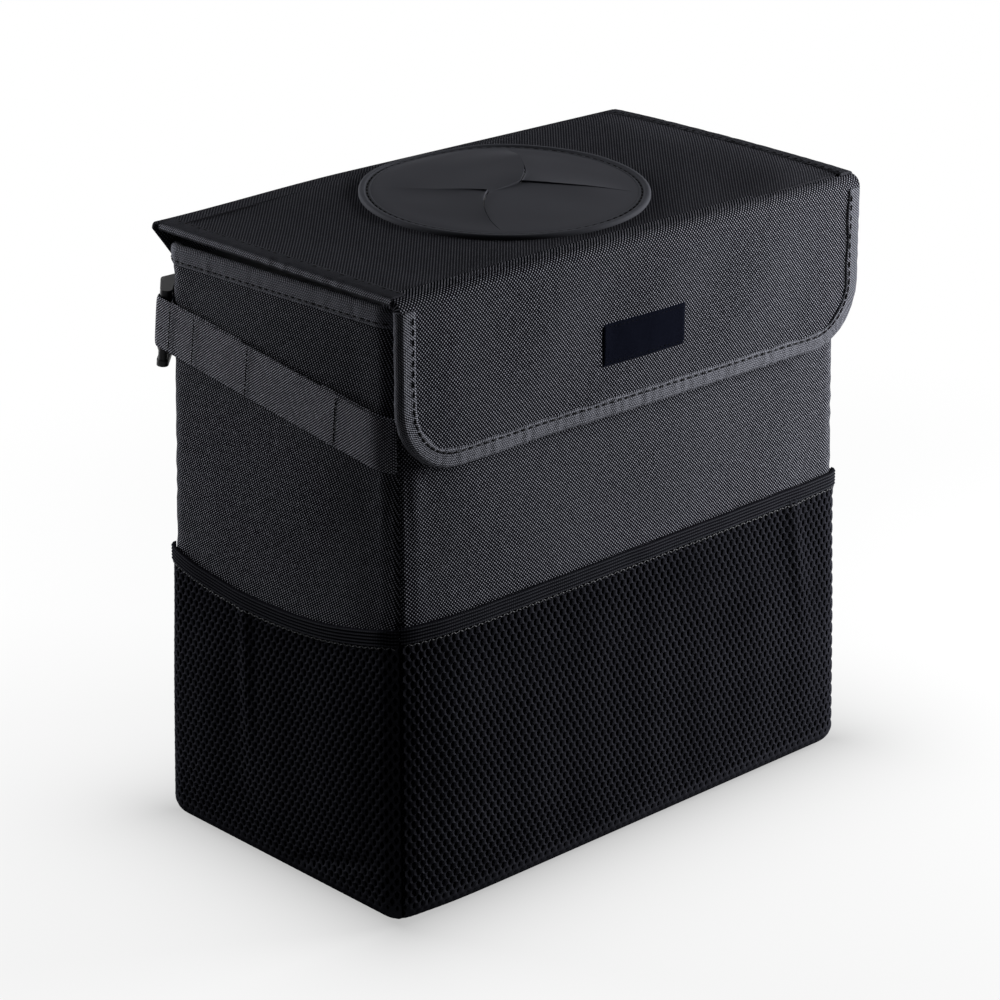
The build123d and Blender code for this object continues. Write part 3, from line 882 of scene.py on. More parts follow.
    def levels(self, foot_rows: int, wall_rows: int, below: float) -> Array:
        """Heights of a wall's rows: round its foot, then up to a distance below the rim."""
        low = self.foot * (1.0 - 0.5 * math.pi)
        up = np.linspace(self.foot, self.height - below, wall_rows)[1:]
        return np.r_[np.linspace(low, self.foot, foot_rows), up]


@dataclass
class Body:
    """Woven body with its liner, rim tape and stitches."""

    plan: BodyPlan
    finishes: Finishes
    stack: float = 3.3
    tape_height: float = 8.0
    tape_over: float = 0.9
    tape_skin: float = 0.8
    tape_step: float = 1.1
    stitch_drop: float = 6.3
    stitch_out: float = 1.1
    seam_depth: float = 1.6
    seam_width: float = 1.0
    pucker: float = 0.16
    swell: float = 0.5
    wave: float = 0.4
    wave_pitch: float = 90.0
    pocket_full: float = 0.9
    pocket_calm: float = 0.7
    dip_depth: float = 2.3
    dip_width: float = 8.0
    dip_room: float = 0.7
    tab_middle: tuple[float, float] = (70.0, 210.0)
    tab_level: float = 0.2
    side_bias: float = 0.49
    front_bias: float = -0.07
    liner_floor: float = 3.9
    crease: float = 1.1

    def wall_offset(self, wall: Wall, s: Array, h: Array) -> Array:
        """Soft face of a wall: a low swell, slow waves, puckers by the seams and the sewn groove.

        The wall is full and calm under the pockets, dips beside the front seams and is pressed flat
        under the closing tabs.

        Args:
            wall: The wall.
            s: Distance along the wall from its middle.
            h: Height above the floor.

        Returns:
            The distance out from the plan.
        """
        plan = self.plan
        to_seam = plan.span(wall) / 2.0 - np.abs(s)
        calm = smooth_step(6.0, 40.0, to_seam) * smooth_step(4.0, 40.0, h)
        calm = calm * smooth_step(0.0, 25.0, plan.height - h)
        seed = 10 + wall.order
        under = smooth_step(125.0, 113.0, h)
        soft = plan.belly(h) + self.pocket_full * under - plan.flattened(wall, s, h)
        waves = self.swell + self.wave * ripple(s, h, seed, self.wave_pitch)
        soft = soft + calm * (1.0 - self.pocket_calm * under) * waves
        if wall.is_side:
            fore = smooth_step(0.0, 20.0, -wall.value[3] * s) * smooth_step(0.0, 30.0, plan.height - h)
            dip = seam_dip(self.dip_depth, self.dip_width, to_seam)
            soft = soft - fore * (1.0 - under) * np.minimum(dip, plan.belly(h) + self.dip_room)
        if wall is Wall.FRONT:
            tab_x, tab_z = self.tab_middle
            pressed = smooth_step(34.0, 26.0, np.abs(np.abs(s) - tab_x))
            pressed = pressed * smooth_step(16.0, 9.0, np.abs(h - tab_z))
            soft = soft - pressed * np.maximum(soft - self.tab_level, 0.0)
        pucker = self.pucker * np.exp(-((to_seam / 7.0) ** 2)) * ripple(s * 0.1, h, seed + 4, 7.0)
        groove = self.seam_depth * np.exp(-((to_seam / self.seam_width) ** 2))
        return soft + pucker - groove * smooth_step(0.0, 8.0, h)

    def build_shell(self) -> Piece:
        """Walls from seam to seam on all four sides, the rounded foot and the floor."""
        plan = self.plan
        heights = plan.levels(9, 62, 2.0)
        patches = []
        start = 0.0
        for wall in Wall:
            s = plan.stations(wall, 4.0)
            grid_s, grid_h = np.meshgrid(s, heights)
            points = plan.at(wall, grid_s, self.wall_offset(wall, grid_s, grid_h), grid_h)
            bias = self.side_bias if wall.is_side else self.front_bias
            uv = spots(grid_s + start - bias * grid_h, grid_h)
            finish = np.zeros((len(heights) - 1, len(s) - 1), int)
            # Below each hem the wall takes the darker copy of its weave: painted shade where the net keeps
            # the light off.
            if wall in HEM_LINES:
                finish[grid_h[1:, :-1] < plan.hem_line(wall, s)[None, :-1] - 3.0] = 1
            patches += [Patch(points, uv, finish=finish), floor_patch(points[0], flip=True)]
            start += plan.span(wall)
        shell = make_piece("shell_walls", patches, [self.finishes.shell, self.finishes.painted_shade_behind_net])
        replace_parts(shell, "outer_shell")
        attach(shell, "bin")
        plan.flat
        plan.cut
        return shell

    def build_liner(self) -> Piece:
        """Film bag inside the boards, with soft creases that lean inwards."""
        plan = self.plan
        heights = plan.levels(7, 46, 1.5)
        patches = []
        for wall in Wall:
            grid_s, grid_h = np.meshgrid(plan.stations(wall, 5.0), heights)
            calm = smooth_step(2.0, 30.0, plan.height - grid_h) * smooth_step(4.0, 20.0, grid_h)
            calm = calm * smooth_step(0.0, 14.0, plan.span(wall) / 2.0 - np.abs(grid_s))
            wide = np.abs(ripple(grid_s * 0.7, grid_h, 40 + wall.order, 70.0))
            fine = np.abs(ripple(grid_s, grid_h, 50 + wall.order, 24.0))
            inset = -self.stack - 0.05 - self.crease * calm * (wide + 0.4 * fine)
            points = plan.at(wall, grid_s, inset, grid_h)
            points[..., 2] = np.maximum(points[..., 2], self.liner_floor)
            patches.append(Patch(points, spots(grid_s, grid_h), flip=True))
            patches.append(floor_patch(points[0], flip=False, level=self.liner_floor))
        liner = make_piece("liner_bag", patches, [self.finishes.liner])
        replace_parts(liner, "inner_liner")
        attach(liner, "bin")
        plan.flat
        plan.cut
        return liner

    def rim_line(self, step: float) -> tuple[Array, Array]:
        """Points and outward directions round the rim, at the height of its top."""
        points, outs = [], []
        for wall in Wall:
            end = self.plan.span(wall) / 2.0
            s = np.linspace(-end, end, int(2.0 * end / step) + 1)[:-1]
            points.append(self.plan.at(wall, s, 0.0, self.plan.height))
            outs.append(self.plan.out(wall, s))
        return np.concatenate(points), np.concatenate(outs)

    def build_rim(self) -> list[Piece]:
        """Tape folded over the rim with puckers, and its row of stitches."""
        path, out = self.rim_line(self.tape_step)
        length = along(path)
        e, f = folded_tape(self.stack / 2.0 + self.tape_over, self.tape_height, self.tape_skin)
        pucker = ripple(length, 0.0, 61, 5.5)[:, None]
        wave = ripple(length, 0.0, 62, 16.0)[:, None]
        flat, inner = tape_shares(e)
        grid_f = f + np.sign(f) * flat * (0.12 * pucker + 0.1) - self.stack / 2.0
        grid_e = e + 0.1 * inner * wave + 0.08 * pucker * (1.0 - flat)
        points = path[:, None] + grid_e[..., None] * UPWARD + grid_f[..., None] * out[:, None]
        wide = along(spots(e, f))
        wide = np.r_[wide, wide[-1] + 3.0]
        uv = spots(*np.meshgrid(wide, np.r_[length, length[-1] + self.tape_step]))
        patch = Patch(points, uv, close_rows=True, close_columns=True)
        tape = make_piece("rim_tape", [patch], [self.finishes.tape])
        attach(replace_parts(tape, "rim_binding"), "bin")
        seat, seat_out = self.rim_line(4.0)
        run = np.roll(seat, -1, axis=0) - np.roll(seat, 1, axis=0)
        places = seat - self.stitch_drop * UPWARD + self.stitch_out * seat_out
        sewn = stitches("rim_stitches", places, run, seat_out, self.finishes.dark_thread)
        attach(sewn, "bin")
        return [tape, sewn]

    def build(self) -> None:
        """Builds the shell, the liner and the rim."""
        for piece in [self.build_shell(), self.build_liner(), *self.build_rim()]:
            LOG.info("body: %s", piece.name)


class NetFold(NamedTuple):
    """Upright fold in a net: place along the wall, lean, width, height, and where it starts and is full."""

    place: float
    lean: float
    width: float
    height: float
    start: float
    full: float


NET_FOLDS = {
    Wall.LEFT: NetFold(-12.0, 0.06, 3.2, 1.2, 20.0, 90.0),
    Wall.FRONT: NetFold(107.0, 0.1, 4.0, 1.1, 50.0, 100.0),
}


@dataclass
class Pocket:
    """Net pocket on one wall: the net, its ribbed elastic hem and the zigzag that joins them."""

    plan: BodyPlan
    finishes: Finishes
    wall: Wall
    hem_top: float = 130.0
    hem_height: float = 7.0
    hem_lift: float = 0.6
    rib_height: float = 0.8
    cell_wide: float = 3.62
    cell_high: float = 6.0
    hole_wide: float = 0.45
    hole_high: float = 0.88
    strand: float = 0.5
    lowest: float = 0.6
    stand: float = 1.15
    bulge: float = 1.2
    wave: float = 0.9
    crease: float = 0.9
    seam_room: float = 0.4
    zigzag_step: float = 1.7
    sewing_room: tuple[float, float] = (4.0, 6.0)
    yarn_share: float = 0.62
    ribs: int = 5

    @property
    def key(self) -> str:
        """Plain name of the wall."""
        return self.wall.name.lower()

    def sag(self, s: Array) -> Array:
        """How far the hem hangs below its full height."""
        return self.hem_top - self.plan.hem_line(self.wall, s)

    def slack(self, s: Array, h: Array) -> Array:
        """How far the net stands off the wall: a bulge, slow waves, an upright fold and a low crease."""
        to_seam = self.plan.span(self.wall) / 2.0 - np.abs(s)
        calm = smooth_step(0.0, 26.0, to_seam)
        low = smooth_step(2.0, 35.0, h) * (1.0 - 0.6 * smooth_step(70.0, 113.0, h))
        waves = 0.5 + 0.5 * ripple(s, 0.25 * h, 70 + self.wall.order, 38.0)
        net = self.plan.belly(h) + self.stand + 0.4 * smooth_step(110.0, 60.0, h)
        net = net - self.plan.flattened(self.wall, s, h)
        net = net - 0.9 * np.exp(-((to_seam / 1.6) ** 2))
        net = net + calm * low * (self.bulge + self.wave * waves)
        if self.wall in NET_FOLDS:
            fold = NET_FOLDS[self.wall]
            ridge = np.exp(-(((s - fold.place + fold.lean * h) / fold.width) ** 2))
            net = net + fold.height * ridge * smooth_step(fold.start, fold.full, h)
        if self.wall is Wall.LEFT:
            crease = np.exp(-(((h - 12.0 - 0.35 * (s - 18.0)) / 3.0) ** 2))
            net = net - self.crease * crease * smooth_step(5.0, 20.0, s) * calm
        return net

    def build_net(self) -> Piece:
        """Staggered cells, each a ring of twelve faces round a slim hole, front and back.

        A cell's rim is the six-sided cell of the lattice with its edges halved, raised into a
        strand, and the hole's rim is that ring drawn in across and up. The holes close at the foot.
        """
        plan, a, b = self.plan, self.cell_wide, self.cell_high
        end = plan.span(self.wall) / 2.0
        low, high = -1.0, self.hem_top - self.hem_height + 2.0
        i = np.arange(-int(end / a) - 1, int(end / a) + 2)
        j = np.arange(0, int((high - low) / b) + 2)
        grid = spots(*np.meshgrid(i * a, low + j * b)).reshape(-1, 2)
        centres = np.r_[grid, grid + np.array([a / 2.0, b / 2.0])]
        top = high - self.sag(centres[:, 0])
        keep = (np.abs(centres[:, 0]) < end) & (centres[:, 1] < top) & (centres[:, 1] > low)
        centres = centres[keep]
        side, tip = (b * b - a * a) / (4.0 * b), (a * a + b * b) / (4.0 * b)
        six = [(a / 2, -side), (a / 2, side), (0, tip), (-a / 2, side), (-a / 2, -side), (0, -tip)]
        six = np.array(six, float)
        rim = np.stack([six, (six + np.roll(six, -1, axis=0)) / 2.0], axis=1).reshape(-1, 2)
        count = len(rim)
        hole = rim * np.array([self.hole_wide, self.hole_high])
        hole = hole * (1.0 - 0.3 * (np.abs(rim[:, :1]) / a) * (np.abs(rim[:, 1:]) / side > 0.9))
        open_share = 0.03 + 0.97 * smooth_step(3.0, 11.0, centres[:, 1])
        rims = np.broadcast_to(rim, (len(centres), count, 2))
        ring = np.concatenate([rims, open_share[:, None, None] * hole[None], rims], axis=1)
        s = centres[:, None, 0] + ring[..., 0]
        h = centres[:, None, 1] + ring[..., 1]
        s = np.clip(s, -end + self.seam_room, end - self.seam_room)
        h = np.minimum(np.maximum(h, low), high - self.sag(s))
        lift = np.repeat([self.strand, 0.0, -0.6 * self.strand], count)[None]
        points = plan.at(self.wall, s, self.slack(s, h) + lift, h)
        points[..., 2] = np.maximum(points[..., 2], self.lowest)
        k = np.arange(count)
        m = (k + 1) % count
        front = spots(k, m, count + m, count + k)
        back = spots(2 * count + m, 2 * count + k, count + k, count + m)
        one = np.r_[front, back]
        quads = (one[None] + 3 * count * np.arange(len(centres))[:, None, None]).reshape(-1, 4)
        uv = spots(s.ravel(), h.ravel())[quads.ravel()]
        points = points.reshape(-1, 3) * MM
        slots = np.zeros(len(quads), int)
        return mesh_piece(f"{self.key}_net", points, quads, uv, slots, [self.finishes.net], 75.0)

    def build_hem(self) -> list[Piece]:
        """Ribbed band with one bump per rib, and the zigzag stitches under it."""
        plan, tall = self.plan, self.hem_height
        end = plan.span(self.wall) / 2.0 - self.seam_room
        s = np.linspace(-end, end, int(2.0 * end / 2.5))
        v = np.linspace(0.0, 1.0, 6 * self.ribs + 1)
        bump = np.abs(np.sin(math.pi * self.ribs * v)) ** 0.5
        front = 1.2 + self.rib_height * bump - 0.5 * smooth_step(0.93, 1.0, v)
        height = np.r_[v, 1.0, 0.0] * tall
        out = np.r_[front, 0.5, 0.5]
        waves = 0.25 * ripple(s, 0.0, 80 + self.wall.order, 30.0)
        calm = smooth_step(0.0, 20.0, end - np.abs(s))
        grid_s, grid_v = np.meshgrid(s, np.arange(len(out)), indexing="ij")
        base = self.hem_top - tall - self.sag(s)
        gap = plan.belly(base) + self.hem_lift + calm * (0.6 + waves)
        gap = gap - plan.flattened(self.wall, s, base)
        gap = gap - 0.8 * np.exp(-(((end - np.abs(s)) / 1.5) ** 2))
        points = plan.at(self.wall, grid_s, gap[:, None] + out[grid_v], base[:, None] + height[grid_v])
        wide = np.r_[height[:-2], tall + 2.0, 2.0 * tall + 2.0, 2.0 * tall + 4.0]
        uv = spots(*np.meshgrid(wide - 0.25 * tall / self.ribs, s))
        patch = Patch(*capped(points, uv), close_columns=True)
        band = make_piece(f"{self.key}_hem", [patch], [self.finishes.elastic], 60.0)
        last = end - 2.0
        count = int(2.0 * last / self.zigzag_step)
        at = np.linspace(-last, last, count)
        h = self.hem_top - tall - self.sag(at) - 0.6
        seat = plan.at(self.wall, at, self.slack(at, h) + 0.75, h)
        ahead = plan.at(self.wall, at + 0.5, 0.0, h) - plan.at(self.wall, at - 0.5, 0.0, h)
        run = unit(ahead) + np.where(np.arange(count) % 2 == 0, 0.5, -0.5)[:, None] * UPWARD
        rise = plan.out(self.wall, at)
        sewn = stitches(f"{self.key}_hem_zigzag", seat, run, rise, self.finishes.thread, 1.8, 0.42, 0.3)
        return [band, sewn]

    def build(self) -> None:
        """Builds the net, the hem and the zigzag."""
        net = self.build_net()
        band, sewn = self.build_hem()
        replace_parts(net, f"{self.key}_pocket_mesh")
        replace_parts(band, f"{self.key}_pocket_elastic")
        for piece, slot in ((net, Slot.NET), (band, Slot.HEM), (sewn, Slot.HEM)):
            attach(piece, "bin")
        wide = self.plan.span(self.wall) + self.sewing_room[0]
        LOG.info("pocket: %s, %s, %s", net.name, band.name, sewn.name)


# Strap


@dataclass
class Straps:
    """Webbing straps in a plane that rises to the back, with their sewn lines."""

    finishes: Finishes
    side: float = 129.6
    layer: float = 1.5
    width: float = 22.0
    slope: float = 7.5
    back_y: float = 71.5
    back_z: float = 222.0
    front_run: float = 131.0
    front_fold: float = 30.0
    upright_run: float = 28.0
    corner_x: float = 116.5
    corner_u: float = -132.1
    wrap: float = 38.0
    bar_x: float = 128.0
    bar_u: float = 0.6
    tongue_x: float = 80.0
    tongue_u: float = 9.0
    tongue_long: float = 46.0
    loop: float = 3.05
    bend: float = 10.0
    slide_x: float = 34.0
    slide_half: float = 11.0
    left_meets: float = -6.75
    left_turns: float = -8.0
    left_ends: float = -52.0
    sewn_half: float = 9.8
    left_rows: tuple[float, ...] = (-8.1, -23.5, -57.6, -111.7)
    right_rows: tuple[float, ...] = (-105.0, -111.7)

    def lifted(self, plan: Array, v: Array) -> Array:
        """Points of the plan (x, u) at height v across the strap, upright where it rounds the corner."""
        t = math.radians(self.slope)
        x, u = plan[..., 0], plan[..., 1]
        lean = smooth_step(self.corner_u, self.corner_u + self.upright_run, u)
        y = self.back_y + u * math.cos(t) - lean * v * math.sin(t)
        z = self.back_z + u * math.sin(t) + v * math.cos(t)
        return spots(x, y, z)

    @staticmethod
    def arc(centre: tuple[float, float], radius: float, start: float, end: float, count: int) -> Array:
        """Points of an arc in the plan, between two angles in degrees."""
        a = np.radians(np.linspace(start, end, count))
        return spots(centre[0] + radius * np.cos(a), centre[1] + radius * np.sin(a))

    def ribbon(self, name: str, route: Array, seed: int) -> Piece:
        """Webbing along a route: a slim section with rounded edges, carried along the plan.

        Args:
            name: Name of the piece.
            route: Points of the strap's middle in its plan.
            seed: Seed of its slow waves.

        Returns:
            The strap.
        """
        path = resample(route, 0.8)
        ahead = unit(np.gradient(path, axis=0))
        side = spots(ahead[:, 1], -ahead[:, 0])
        half = self.width / 2.0
        v = half * np.sin(np.linspace(-0.5, 0.5, 13) * math.pi)
        thick = 0.5 * self.layer * (1.0 - 0.75 * np.abs(v / half) ** 10)
        across = np.r_[v, v[::-1]]
        deep = np.r_[thick, -thick[::-1]]
        length = along(path)
        wave = 0.12 * ripple(length[:, None], across[None], seed, 26.0)
        plan = path[:, None] + (deep[None] * 0.97 + wave * 0.5)[..., None] * side[:, None]
        points = self.lifted(plan, np.broadcast_to(across, plan.shape[:2]))
        wide = np.r_[v + half, 2.0 * half + half - v[::-1], 4.0 * half]
        points, uv = capped(points, spots(*np.meshgrid(wide, length)))
        strap = make_piece(name, [Patch(points, uv, close_columns=True)], [self.finishes.webbing], 50.0)
        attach(strap, "bin")
        return strap

    def front_end(self) -> Array:
        """Left strap's front end: forward, round the corner to its seam, turned over and back outside."""
        centre = (-self.corner_x, self.corner_u)
        inner = self.side + 0.5 * self.layer - self.corner_x
        outer = inner + self.layer
        stop = 180.0 + self.wrap
        turn, middle = math.radians(stop), (inner + outer) / 2.0
        tip = (centre[0] + middle * math.cos(turn), centre[1] + middle * math.sin(turn))
        route = [
            np.array([[centre[0] - inner, -self.front_run + self.front_fold]]),
            self.arc(centre, inner, 180.0, stop, 14),
            self.arc(tip, self.layer / 2.0, stop + 180.0, stop, 9)[1:-1],
            self.arc(centre, outer, stop, 180.0, 14),
        ]
        return np.concatenate(route)

    def build_left(self) -> Piece:
        """Short strap: sewn in at the front corner, along the left wall, round the socket's bar and back."""
        inner = -self.side - 0.5 * self.layer
        end = np.array([inner, self.left_meets])
        across, back = end - np.array([-self.bar_x, self.bar_u])
        lean = math.degrees(math.atan2(back, across) + math.acos(self.loop / math.hypot(across, back)))
        route = [
            self.front_end(),
            self.arc((-self.bar_x, self.bar_u), self.loop, 180.0, lean, 19),
            np.array([end, [inner, self.left_turns], [inner, self.left_ends]]),
        ]
        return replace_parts(self.ribbon("left_strap_webbing", np.concatenate(route), 90), "left_strap")

    def build_rear(self) -> Piece:
        """Long strap: along the right wall, round the rear corner and across to the tongue's bar."""
        outer = self.side + 1.5 * self.layer
        back = self.tongue_u + self.loop
        radius = self.bend - self.layer / 2.0
        turn = (outer - radius, back - radius)
        start = -self.tongue_x + 0.5 * self.tongue_long
        route = [
            self.front_end() * np.array([-1.0, 1.0]),
            self.arc(turn, radius, 0.0, 90.0, 12),
            self.arc((-self.tongue_x, self.tongue_u), self.loop, 90.0, 270.0, 15),
            np.array([[start, back - self.layer], [-self.slide_x + self.slide_half, back - self.layer]]),
        ]
        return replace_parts(self.ribbon("rear_strap_webbing", np.concatenate(route), 91), "rear_strap")

    def sew(self, name: str, x: float, rows: tuple[float, ...]) -> Piece:
        """Lines of stitches across a strap, on the side of the bin where x lies."""
        v = np.linspace(-self.sewn_half, self.sewn_half, 10)
        grid_u, grid_v = np.meshgrid(np.array(rows), v)
        plan = spots(x, grid_u.ravel())
        places = self.lifted(plan, grid_v.ravel())
        t = math.radians(self.slope)
        run = np.array([0.0, -math.sin(t), math.cos(t)])
        rise = math.copysign(1.0, x) * TO_RIGHT
        sewn = stitches(name, places, run, rise, self.finishes.dark_thread, 2.0, 0.6, 0.2)
        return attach(sewn, "bin")

    def build(self) -> None:
        """Builds both straps and their sewn lines."""
        made = [self.build_left(), self.build_rear()]
        face = self.side + 2.0 * self.layer
        made.append(self.sew("left_strap_stitches", -face, self.left_rows))
        made.append(self.sew("right_strap_stitches", face, self.right_rows))
        for piece in made:
            LOG.info("strap: %s", piece.name)


# Lid and flap


@dataclass(frozen=True)
class LidPlan:
    """Lid plane between the front fold and the rear fold."""

    front_y: float = -75.2
    front_z: float = 262.0
    rear_y: float = 71.7
    rear_z: float = 262.8
    half_width: float = 131.3
    half_thick: float = 1.9
    disc_y: float = 79.69
    disc_radius: float = 61.0
    spring: float = 2.2
    spring_front: float = 0.35
    disc_lean: float = 2.7
    lean_way: tuple[float, float] = (0.687, 0.727)
    lean_limit: float = 1.15
    edge_bow: float = 1.5
    swell: float = 0.55
    wave: float = 0.4
    dent: float = 0.5

    @property
    def slope(self) -> float:
        """Angle of the lid, rising to the back."""
        return math.atan2(self.rear_z - self.front_z, self.rear_y - self.front_y)

    @property
    def depth(self) -> float:
        """Distance between the two folds."""
        return math.hypot(self.rear_z - self.front_z, self.rear_y - self.front_y)

    def at(self, x: Array, y: Array, z: Array) -> Array:
        """Points of the lid's own plane, with y from the front fold back and z up from the middle layer."""
        x, y, z = np.broadcast_arrays(x, y, z)
        c, s = math.cos(self.slope), math.sin(self.slope)
        high = self.front_z + y * s + z * c + self.warp(x, y)
        return spots(x, self.front_y + y * c - z * s, high)

    def warp(self, x: Array, y: Array) -> Array:
        """How far the soft lid is sprung up: nothing at its left edge, most at the rear and the right.

        The lid's middle leans down to the front left, and the right edge is bowed up between its ends.

        Args:
            x: Distance to the right of the lid's middle.
            y: Distance behind the front fold.

        Returns:
            The height to add to the flat lid.
        """
        back = np.clip(y / self.depth, 0.0, 1.0)
        rising = self.spring_front + (1.0 - self.spring_front) * back
        sprung = self.spring * smooth_step(-self.half_width, -30.0, x) * rising
        away = self.lean_way[0] * x + self.lean_way[1] * (y - self.disc_y)
        lean = self.disc_lean * np.clip(away / self.disc_radius, -self.lean_limit, self.lean_limit)
        inner = smooth_step(0.0, 40.0, self.half_width - np.abs(x))
        inner = inner * smooth_step(0.0, 20.0, y) * smooth_step(0.0, 20.0, self.depth - y)
        bowed = self.edge_bow * smooth_step(50.0, 125.0, x) * np.sqrt(np.sin(math.pi * back))
        return sprung + bowed + lean * inner

    @property
    def up(self) -> Array:
        """Direction up from the lid."""
        return np.array([0.0, -math.sin(self.slope), math.cos(self.slope)])

    def thin(self, x: Array) -> Array:
        """Share of the lid's lower half that is left at its sides, where the underside is pressed up."""
        return 1.0 - 0.6 * smooth_step(14.0, 0.0, self.half_width - np.abs(x))

    def puff(self, x: Array, y: Array) -> Array:
        """Soft height of the lid's top: a low swell between its edges and the disc, with slow waves."""
        edge = smooth_step(0.0, 22.0, self.half_width - np.abs(x))
        edge = edge * smooth_step(2.0, 16.0, y) * smooth_step(2.0, 16.0, self.depth - y)
        ring = np.hypot(x, y - self.disc_y) - self.disc_radius
        free = edge * smooth_step(-2.0, 16.0, ring)
        waves = ripple(x, y, 101, 62.0)
        dent = np.exp(-(((x + 6.0) / 20.0) ** 2) - (((y - 9.0) / 4.5) ** 2))
        return free * (self.swell + self.wave * waves) - self.dent * dent

    def fold(
        self, way: float, level: float, radius: float, rows: int, lead: Array
    ) -> tuple[Array, Array, float]:
        """Path of a sheet that leaves the lid's top and turns down round its front or rear fold.

        Args:
            way: -1 for the front fold and 1 for the rear fold.
            level: Height of the sheet over the lid's middle layer.
            radius: Radius of the turn.
            rows: Number of points in the turn.
            lead: Distances from the turn of the points before it.

        Returns:
            Points (y, z), the directions out from them, and the height of the turn's middle over the fold.
        """
        edge = (self.rear_y, self.rear_z) if way > 0.0 else (self.front_y, self.front_z)
        n = self.up[1:]
        aside = way * (level - radius)
        rise = (level - radius - n[0] * aside) / n[1]
        angle = np.linspace(math.atan2(n[1], n[0]), 0.0 if way > 0.0 else math.pi, rows)
        normal = spots(np.cos(angle), np.sin(angle))
        turn = np.array([edge[0] + aside, edge[1] + rise]) + radius * normal
        back = -way * np.array([math.cos(self.slope), math.sin(self.slope)])
        path = np.r_[turn[0] + lead[:, None] * back, turn]
        normals = np.r_[np.repeat(normal[:1], len(lead), axis=0), normal]
        return path, normals, rise


